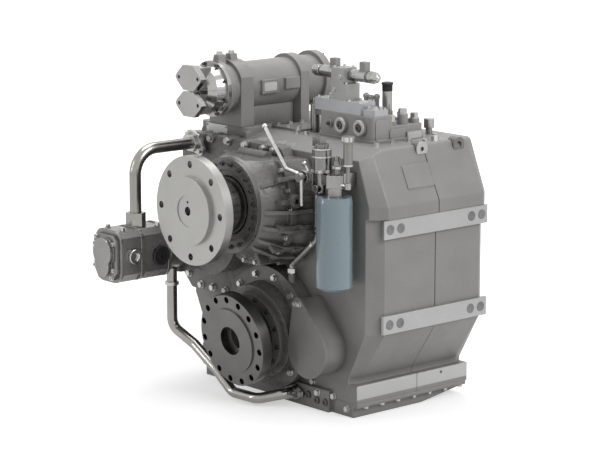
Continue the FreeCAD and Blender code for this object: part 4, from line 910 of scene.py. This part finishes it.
@dataclass
class CoverHoleShade:
    """Dark discs painted as the shade inside the tapped holes between the screws of the input
    bearing cover.
    """

    face_y: float = 0.1452
    circle: float = 0.131
    count: int = 20
    first: float = 0.95
    width: float = 0.009

    def build(self) -> None:
        """Set one dark disc of painted shade for each hole."""
        step = 2 * math.pi / self.count
        heads = []
        for i in range(self.count):
            angle = step * (i + self.first)
            heads.append(Head(Vector((self.circle * math.cos(angle), self.face_y,
                                      self.circle * math.sin(angle))),
                              Vector(FRONT), self.width))
        FastenerTree(Drive.RIM, DARK_BOLT_AND_HOLE_SHADE).place(
            "cover_tapped_holes", heads, {"Washer radius": 0.5, "Washer height": 0.06},
            "dark_steel")


@dataclass
class FillerCap:
    """Black push-on cap with grip ribs round it."""

    foot: Point = (0.19, 0.645, 0.332)
    height: float = 0.028
    radius: float = 0.0155
    brim: float = 0.0188
    rib: float = 0.0011
    ribs: int = 24

    def build(self) -> None:
        """Turn the cap and set the ribs on it."""
        (x, y, z), r, span = self.foot, self.radius, self.height
        shape = Shape("filler_cap_grip").turned(
            [(0, 0), (r, 0), (r, span - 0.009), (self.brim, span - 0.007),
             (self.brim, span - 0.002), (0.0168, span), (0.009, span), (0.008, span - 0.001),
             (0, span - 0.001)], self.foot, UP)
        for i in range(self.ribs):
            angle = 2 * math.pi * i / self.ribs
            foot = (x + r * math.cos(angle), y + r * math.sin(angle), z + 0.001)
            shape.turned([(0, 0), (self.rib, 0), (self.rib, span - 0.01), (0, span - 0.01)],
                         foot, UP, 8)
        shape.finish(BLACK_PLASTIC, "black_plastic", "filler_cap", "filler_cap")


@dataclass(frozen=True)
class Row:
    """Fasteners of one size that point one way, in millimetres.

    The places are given by level: the coordinate along the aim, then the other two.
    """

    name: str
    drive: Drive
    size: float
    aim: Point
    places: Mapping[float, Sequence[tuple[float, float]]]
    height: float = 0.6
    washer: float = 0.6
    bright: bool = True

    def heads(self) -> list[Head]:
        """Every fastener of the row."""
        axis = [abs(c) for c in self.aim].index(1)
        found = []
        for level, pairs in self.places.items():
            for pair in pairs:
                place = list(pair)
                place.insert(axis, level)
                found.append(Head(millimetres(*place), Vector(self.aim), self.size / 1000))
        return found


@dataclass
class SmallScrews:
    """The rows of small screws on the control group, the pump and the deck, and a dark disc of
    painted shade in the foot's gauge hole.
    """

    rows: tuple[Row, ...] = (
        Row("control_screws", Drive.SOCKET, 11, UP, {236: (
            (62, 586), (120, 584), (176, 584), (226, 590), (62, 640), (72, 692), (118, 694),
            (178, 690), (222, 680), (234, 632))}),
        Row("control_bolts", Drive.HEXAGON, 15, UP, {236: (
            (76, 664), (150, 612), (232, 610), (238, 692), (130, 668))}),
        Row("manifold_screws", Drive.SOCKET, 10, UP, {309: (
            (24, 506), (24, 552), (70, 506), (70, 552), (166, 506), (166, 552), (214, 506),
            (214, 552)), 291: ((276, 512), (276, 554), (236, 554))}),
        Row("valve_block_screws", Drive.SOCKET, 9, UP, {
            410: ((92, 510), (92, 552), (132, 510), (132, 552)), 361: ((147, 510), (147, 552))}),
        Row("valve_block_plugs", Drive.SOCKET, 13, FRONT, {502: ((98, 340), (126, 382))}, 0.25),
        Row("pump_cover_screws", Drive.SOCKET, 13, FRONT, {-82: (
            (-380, -146), (-380, -216), (-284, -138), (-284, -222), (-372, -122),
            (-294, -248))}),
        Row("pump_top_bolts", Drive.HEXAGON, 15, UP, {-100: (
            (-368, -42), (-292, -42), (-368, 96), (-292, 96))}),
        Row("outlet_bolts", Drive.HEXAGON, 17, FRONT, {281: ((-301, 119), (-359, 167))},
            washer=0.7),
        Row("slope_bolts", Drive.HEXAGON, 15, UP, {191: (
            (-30, 462), (10, 462), (330, 470), (330, 540), (330, 610), (366, 640), (240, 738),
            (180, 738), (120, 738), (60, 738), (0, 738), (-60, 738), (-120, 738),
            (310, 738))}),
        # Dark disc of painted shade in the foot's gauge hole.
        Row("foot_gauge_hole", Drive.RIM, 9, RIGHT, {380: ((709, -554),)}, washer=0.5,
            bright=False),
    )

    def build(self) -> None:
        """Place every row."""
        for row in self.rows:
            tree = FastenerTree(row.drive, BOLT_STEEL if row.bright else DARK_BOLT_AND_HOLE_SHADE)
            tree.place(row.name, row.heads(),
                       {"Head height": row.height, "Washer radius": row.washer})


@dataclass
class RailCaps:
    """Protective caps pressed into the rails' holes, each with a thin rim."""

    face_x: float = 465.0
    hole_y: tuple[float, ...] = (405.0, 449.0, 752.0, 797.0)
    rail_z: tuple[float, ...] = (-43.0, -339.0)
    radius: float = 0.0096
    rim: float = 0.0155
    depth: float = 3.0

    def build(self) -> None:
        """One cap for each hole, with its rim on the rail's face."""
        shape = Shape("rail_hole_caps")
        r, rim = self.radius, self.rim
        profile = [(0, 0), (r, 0), (r, 0.003), (rim, 0.003), (rim, 0.0036),
                   (rim - 0.0006, 0.0041), (r, 0.0041), (r - 0.001, 0.0036), (0, 0.0036)]
        for side in (-1, 1):
            for z in self.rail_z:
                for y in self.hole_y:
                    shape.turned(profile, millimetres(side * (self.face_x - self.depth), y, z),
                                 (side, 0, 0), 40)
        shape.finish(CAP_PLASTIC, "grey_paint")


@dataclass
class PumpTrim:
    """Plugs on the pump's right side and the raised bands round its body."""

    cover_seat: Point = (-0.264, 0.088, -0.193)
    cover: Profile = ((0, 0), (0.031, 0), (0.031, 0.006), (0.029, 0.008), (0.024, 0.008),
                      (0.0235, 0.0065), (0.0105, 0.0065), (0.01, 0.009), (0.008, 0.009),
                      (0.0075, 0.004), (0, 0.004))
    plug_seat: Point = (-0.264, -0.016, -0.182)
    plug: Profile = ((0, 0), (0.025, 0), (0.025, 0.007), (0.023, 0.01), (0.013, 0.01),
                     (0.0115, 0.008), (0.0115, 0.002), (0, 0.002))
    bands: Profile = ((-68.5, 8.0), (10.0, 14.0), (118.0, 8.5))
    band_centre: tuple[float, float] = (-331.0, -182.0)
    band_half: tuple[float, float] = (69.0, 85.0)
    corner: float = 40.0

    def build(self) -> None:
        """Turn both plugs and set the bands, each from a start with a width."""
        Shape("pump_port_cover").turned(self.cover, self.cover_seat, RIGHT, 56).finish(
            BLACK_PLASTIC, "black_plastic")
        Shape("pump_port_plug").turned(self.plug, self.plug_seat, RIGHT, 56).finish(
            CHROME_RING, "bolt_steel")
        bands = Shape("pump_bands")
        (x, z), (half_width, half_height) = self.band_centre, self.band_half
        for start, width in self.bands:
            bands.rounded((x, start, z), (half_width, 0, 0), (0, 0, half_height),
                          (0, width, 0), self.corner)
        bands.finish(PUMP_ALLOY, "cast_aluminium")


@dataclass
class DeckPlate:
    """Blank plate held by four small screws on the deck's raised block."""

    low: Point = (-350.0, 347.6, 166.0)
    high: Point = (-244.0, 349.0, 201.0)
    inset: float = 6.0
    screw: float = 0.006

    def build(self) -> None:
        """Make the plate and its screws."""
        Shape("deck_blank_plate").block(millimetres(*self.low), millimetres(*self.high)).finish(
            PAD_ALLOY, "machined_steel")
        heads = [Head(millimetres(x, self.low[1], z), Vector(FRONT), self.screw)
                 for x in (self.low[0] + self.inset, self.high[0] - self.inset)
                 for z in (self.low[2] + self.inset, self.high[2] - self.inset)]
        FastenerTree(Drive.RIM, DARK_BOLT_AND_HOLE_SHADE).place(
            "drive_screws", heads, {"Washer radius": 0.5, "Washer height": 0.2}, "dark_steel")


@dataclass
class PadFaces:
    """Machined and cast faces with rounded corners, by centre, half sides and thickness."""

    pads: tuple[tuple, ...] = (
        ((296.6, 664.0, 203.0), (0, 29, 0), (0, 0, 10), (1.0, 0, 0), 8),
        ((-165.4, 465.0, 326.0), (0, 26, 0), (0, 0, 14), (0.8, 0, 0), 6))
    panels: tuple[tuple, ...] = (
        ((289.8, 527.0, 230.0), (0, 25, 0), (0, 0, 33), (3.2, 0, 0), 11),
        ((289.8, 594.0, 213.5), (0, 33, 0), (0, 0, 15), (3.2, 0, 0), 9),
        ((165.0, 600.0, 190.9), (130, 0, 0), (0, 112, 0), (0, 0, 7.5), 16))

    def build(self) -> None:
        """Make the bright pads of the controls and the cooler, and the controls' panels."""
        for name, plates, finish, slot in (
                ("machined_pads", self.pads, PAD_ALLOY, "machined_steel"),
                ("control_side_panels", self.panels, CONTROL_PAINT, "grey_paint")):
            shape = Shape(name)
            for plate in plates:
                shape.rounded(*plate)
            shape.finish(finish, slot)


@dataclass
class ControlFittings:
    """Hexagon fittings on the control housing, its port collars and the solenoids' bands."""

    top: float = 236.0
    stems: tuple[tuple[float, float, float, float], ...] = (
        (98.0, 640.0, 318.0, 10.0), (122.0, 640.0, 313.0, 9.0), (147.0, 640.0, 319.0, 10.0),
        (160.0, 678.0, 274.0, 12.0), (212.0, 684.0, 270.0, 12.0), (224.0, 640.0, 258.0, 11.0),
        (70.0, 612.0, 262.0, 10.0))
    ports: tuple[float, ...] = (146.0, 233.0)
    port_place: tuple[float, float] = (494.0, 234.0)
    collar: Profile = ((0.0135, 0), (0.0245, 0), (0.0255, 0.001), (0.0255, 0.0115),
                       (0.0235, 0.0135), (0.0145, 0.0135), (0.0135, 0.0125))
    coil: tuple[float, float] = (538.0, 388.0)
    coil_ends: tuple[tuple[float, int], ...] = ((140.0, 1), (84.0, -1))
    coil_bore: float = 15.0
    bands: tuple[Point, ...] = ((5, 4, 19.6), (30, 2.5, 19.4), (77, 7, 18.6), (88, 2.5, 19.4),
                                (101, 3, 19.4))

    def stem(self, shape: Shape, x: float, y: float, top: float, radius: float) -> None:
        """One fitting: a round foot, a neck, a hexagon and a small cap."""
        r, span = radius / 1000, (top - self.top) / 1000
        foot = millimetres(x, y, self.top)
        shape.turned([(0, 0), (r, 0), (r, 0.014), (r * 0.85, 0.016), (r * 0.85, span - 0.004),
                      (0, span - 0.004)], foot, UP, 20)
        shape.turned([(0, 0), (r * 1.1, 0), (r * 1.1, 0.009), (r * 0.95, 0.0105), (0, 0.0105)],
                     foot + Vector((0, 0, span - 0.0145)), UP, 6)
        shape.turned([(0, 0), (r * 0.6, 0), (r * 0.6, 0.0035), (r * 0.5, 0.004), (0, 0.004)],
                     foot + Vector((0, 0, span - 0.004)), UP, 20)

    def build(self) -> None:
        """Make the fittings, the collars and the bands."""
        fittings = Shape("control_fittings")
        for stem in self.stems:
            self.stem(fittings, *stem)
        fittings.finish(VALVE_ALLOY, "bolt_steel")
        collars = Shape("port_collars")
        for x in self.ports:
            collars.turned(self.collar, millimetres(x, *self.port_place), FRONT)
        collars.finish(CONTROL_PAINT, "grey_paint")
        bands = Shape("solenoid_bands")
        for start, side in self.coil_ends:
            for place, width, radius in self.bands:
                bands.ring((start + side * place, *self.coil), (side, 0, 0), self.coil_bore,
                           radius, width)
        bands.finish(DARK_BOLT_AND_HOLE_SHADE, "dark_steel")


@dataclass
class CoolerDuct:
    """Cast duct between the cooler and the deck."""

    low: Point = (-292.0, 396.0, 190.0)
    high: Point = (-206.0, 598.0, 262.0)
    edge: float = 0.006

    def build(self) -> None:
        """Make the duct with rounded edges."""
        Shape("cooler_cast_duct").block(millimetres(*self.low), millimetres(*self.high),
                                        self.edge).finish(COOLER_PAINT, "grey_paint")


@dataclass
class BellRibs:
    """Long low ribs from the bell's nose to its rear rim."""

    angles: tuple[float, ...] = (-52.0, -38.0, -20.0, -2.0, 28.0, 200.0, 222.0)
    half: float = 0.006
    outline: Profile = ((0.163, 0.150), (0.172, 0.164), (0.205, 0.184), (0.240, 0.2055),
                        (0.262, 0.207), (0.300, 0.2135), (0.343, 0.221), (0.343, 0.205),
                        (0.24, 0.178), (0.17, 0.149))

    def build(self) -> None:
        """Push each rib's outline, given by depth and radius, across its thickness."""
        shape = Shape("bell_ribs")
        for angle in self.angles:
            out = spoke(math.radians(angle))
            side = spoke(math.radians(angle) + math.pi / 2)
            shape.prism([out * r + Vector((0, y, 0)) - side * self.half
                         for y, r in self.outline], side * 2 * self.half)
        shape.finish(HOUSING_PAINT, "grey_paint")


@dataclass
class PipeRings:
    """Union nuts, clamps and olives round the pipes, and the nuts of the sensors.

    Each ring has a foot, an aim, an inner and an outer radius, a length and, where it is a
    hexagon, its count of sides.
    """

    bend: Point = (227.0, 318.0, -96.0)
    run: Point = (-119.0, 0.0, -100.0)
    past_bend: float = 22.0

    def build(self) -> None:
        """Place the bright nuts, the nuts of the sensors and the black clamps."""
        slope = Vector(self.run).normalized()
        for name, finish, slot, rings in (
                ("pipe_unions", BOLT_STEEL, "bolt_steel", (
                    ((227, 318, 44), UP, 8.0, 12.5, 18, 6),
                    ((108, 318, -222), UP, 8.0, 13.0, 16, 6),
                    (Vector(self.bend) + slope * self.past_bend, slope, 8.0, 11.5, 14),
                    ((-330, 262, 143), (0, 1, 0), 19.0, 30.0, 20, 6),
                    ((-330, 183, -300), (0, 0, -1), 17.0, 23.0, 12))),
                ("sensor_nuts", BOLT_STEEL, "bolt_steel", (
                    ((414, 276, 235), UP, 14.0, 19.5, 15, 6),
                    ((414, 276, 160), UP, 5.0, 15.5, 5),
                    ((303, 270, 175), UP, 26.0, 31.5, 5),
                    ((303, 270, 199), UP, 20.0, 31.5, 4),
                    ((303, 270, 129), UP, 26.0, 34.0, 10, 6),
                    ((370, 272, 147), UP, 8.0, 15.0, 9, 6))),
                ("pipe_clamps", SEAL_RUBBER, "seal_rubber", (
                    ((227, 318, -64), UP, 8.0, 14.0, 6),
                    ((227, 318, -80), UP, 8.0, 14.0, 6)))):
            shape = Shape(name)
            for ring in rings:
                shape.ring(*ring)
            shape.finish(finish, slot)


@dataclass
class OutletFlange:
    """Oval two-bolt flange that holds the pressure pipe to the front housing."""

    centre: Point = (-330.0, 292.0, 143.0)
    lobe_turn: float = -39.6
    waist: float = 31.0
    reach: float = 52.0
    bore: float = 19.2
    thickness: float = 11.0
    taper: int = 6
    steps: int = 72

    def build(self) -> None:
        """Join the oval's two faces, its rim and its bore."""
        shape = Shape("outlet_flange")
        hub = millimetres(*self.centre)
        loops: list[list[bmesh.types.BMVert]] = []
        for back, outer in ((0.0, False), (0.0, True), (1.0, True), (1.0, False)):
            loops.append([])
            for i in range(self.steps):
                turn = 2 * math.pi * i / self.steps
                swell = abs(math.cos(turn)) ** self.taper
                radius = (self.waist + (self.reach - self.waist) * swell if outer
                          else self.bore) / 1000
                angle = turn + math.radians(self.lobe_turn)
                loops[-1].append(shape.bm.verts.new(hub + Vector(
                    (radius * math.cos(angle), -back * self.thickness / 1000,
                     radius * math.sin(angle)))))
        for near, far in zip(loops, loops[1:] + loops[:1]):
            for i in range(self.steps):
                j = (i + 1) % self.steps
                shape.bm.faces.new((near[i], near[j], far[j], far[i]))
        shape.finish(BOLT_STEEL, "bolt_steel")


@dataclass
class Studio:
    """Pale floor, soft lamps and the camera."""

    eye: Point = (5.672, -4.485, 1.360)
    azimuth: float = 49.0
    elevation: float = 11.0
    lens: float = 144.0
    sensor: float = 36.0
    sky: float = 0.4
    floor_size: float = 30.0
    paper: Colour = (0.7, 0.7, 0.7)
    near_glow: Colour = (0.5, 0.5, 0.5)
    mirror_glow: Colour = (0.35, 0.35, 0.35)
    fade: tuple[float, float] = (1.2, 4.0)
    aim: Point = (0.0, 0.4, -0.1)
    lamps: tuple[tuple, ...] = (("key_softbox", (6.0, 1.4, 3.8), 3.0, 3.0, 220.0),
                                ("top_softbox", (-1.0, 1.0, 5.0), 4.0, 4.0, 165.0),
                                ("left_strip", (-3.0, -5.2, 2.2), 0.5, 3.5, 55.0))

    def build(self) -> None:
        """Set up everything round the object."""
        bpy.context.scene.view_settings.view_transform = "Standard"
        self._camera()
        self._world()
        self._floor()
        for lamp in self.lamps:
            self._lamp(*lamp)

    def _stand(self, name: str, data: bpy.types.ID, place: Point,
               away: Vector) -> bpy.types.Object:
        """Put a lamp or a camera in its place, with its back to one direction."""
        made = add_object(name, data)
        made.location = place
        made.rotation_mode = "QUATERNION"
        made.rotation_quaternion = (-away).to_track_quat("-Z", "Y")
        return made

    def _camera(self) -> None:
        """Put the camera where the photograph was taken from."""
        data = bpy.data.cameras.new("camera")
        data.lens = self.lens
        data.sensor_width = self.sensor
        data.clip_end = 200.0
        a, e = math.radians(self.azimuth), math.radians(self.elevation)
        back = Vector((math.sin(a) * math.cos(e), -math.cos(a) * math.cos(e), math.sin(e)))
        bpy.context.scene.camera = self._stand("camera", data, self.eye, back)

    def _world(self) -> None:
        """White behind the object, soft light from all round."""
        world = bpy.data.worlds.new("studio")
        world.use_nodes = True
        sheet = NodeSheet(world.node_tree)
        shown = sheet.tree.nodes["Background"]
        shown.inputs["Color"].default_value = (1, 1, 1, 1)
        seen, mirrored, through = (sheet.node("ShaderNodeLightPath", output=f"Is {ray} Ray")
                                   for ray in ("Camera", "Glossy", "Transmission"))
        strength = sheet.spread(seen.either(mirrored).either(through), 0, 1, self.sky)
        sheet.tree.links.new(strength.socket, shown.inputs["Strength"])
        bpy.context.scene.world = world

    def _floor(self) -> None:
        """Pale floor that keeps the object's shadow."""
        mesh = bpy.data.meshes.new("floor")
        size, level = self.floor_size, CAD_LOW.z - 0.0005
        mesh.from_pydata([(-size, -size, level), (size, -size, level), (size, size, level),
                          (-size, size, level)], [], [(0, 1, 2, 3)])
        floor = add_object("floor", mesh)
        sheet = FinishSheet("floor_paper")
        sheet.set("Base Color", self.paper)
        sheet.set("Roughness", 0.9)
        seen = sheet.node("ShaderNodeLightPath", output="Is Camera Ray")
        mirrored = sheet.node("ShaderNodeLightPath", output="Is Glossy Ray")
        away = sheet.spread(sheet.from_axis((0.0, 0.4, 0.0), UP), *self.fade)
        far_glow = sheet.blend(away, self.near_glow, (1.0, 1.0, 1.0))
        shown = sheet.blend(mirrored, (0.0, 0.0, 0.0), self.mirror_glow)
        sheet.set("Emission Color", sheet.blend(seen, shown, far_glow))
        sheet.set("Emission Strength", 1.0)
        mesh.materials.append(sheet.material)

    def _lamp(self, name: str, place: Point, width: float, height: float,
              power: float) -> None:
        """Add one soft lamp that faces the object."""
        data = bpy.data.lights.new(name, "AREA")
        data.shape = "RECTANGLE"
        data.size = width
        data.size_y = height
        data.energy = power
        self._stand(name, data, place, Vector(place) - Vector(self.aim))


def main() -> None:
    """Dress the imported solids, add the detail pieces and light them."""
    logging.basicConfig(level=logging.INFO, format="%(name)s: %(message)s")
    Studio().build()
    dress_nodes()
    for detail in (Fasteners, CoverHoleShade, FillerCap, SmallScrews, RailCaps, PumpTrim, DeckPlate,
                   PadFaces, ControlFittings, CoolerDuct, BellRibs, PipeRings, OutletFlange):
        detail().build()


if __name__ == "__main__":
    main()
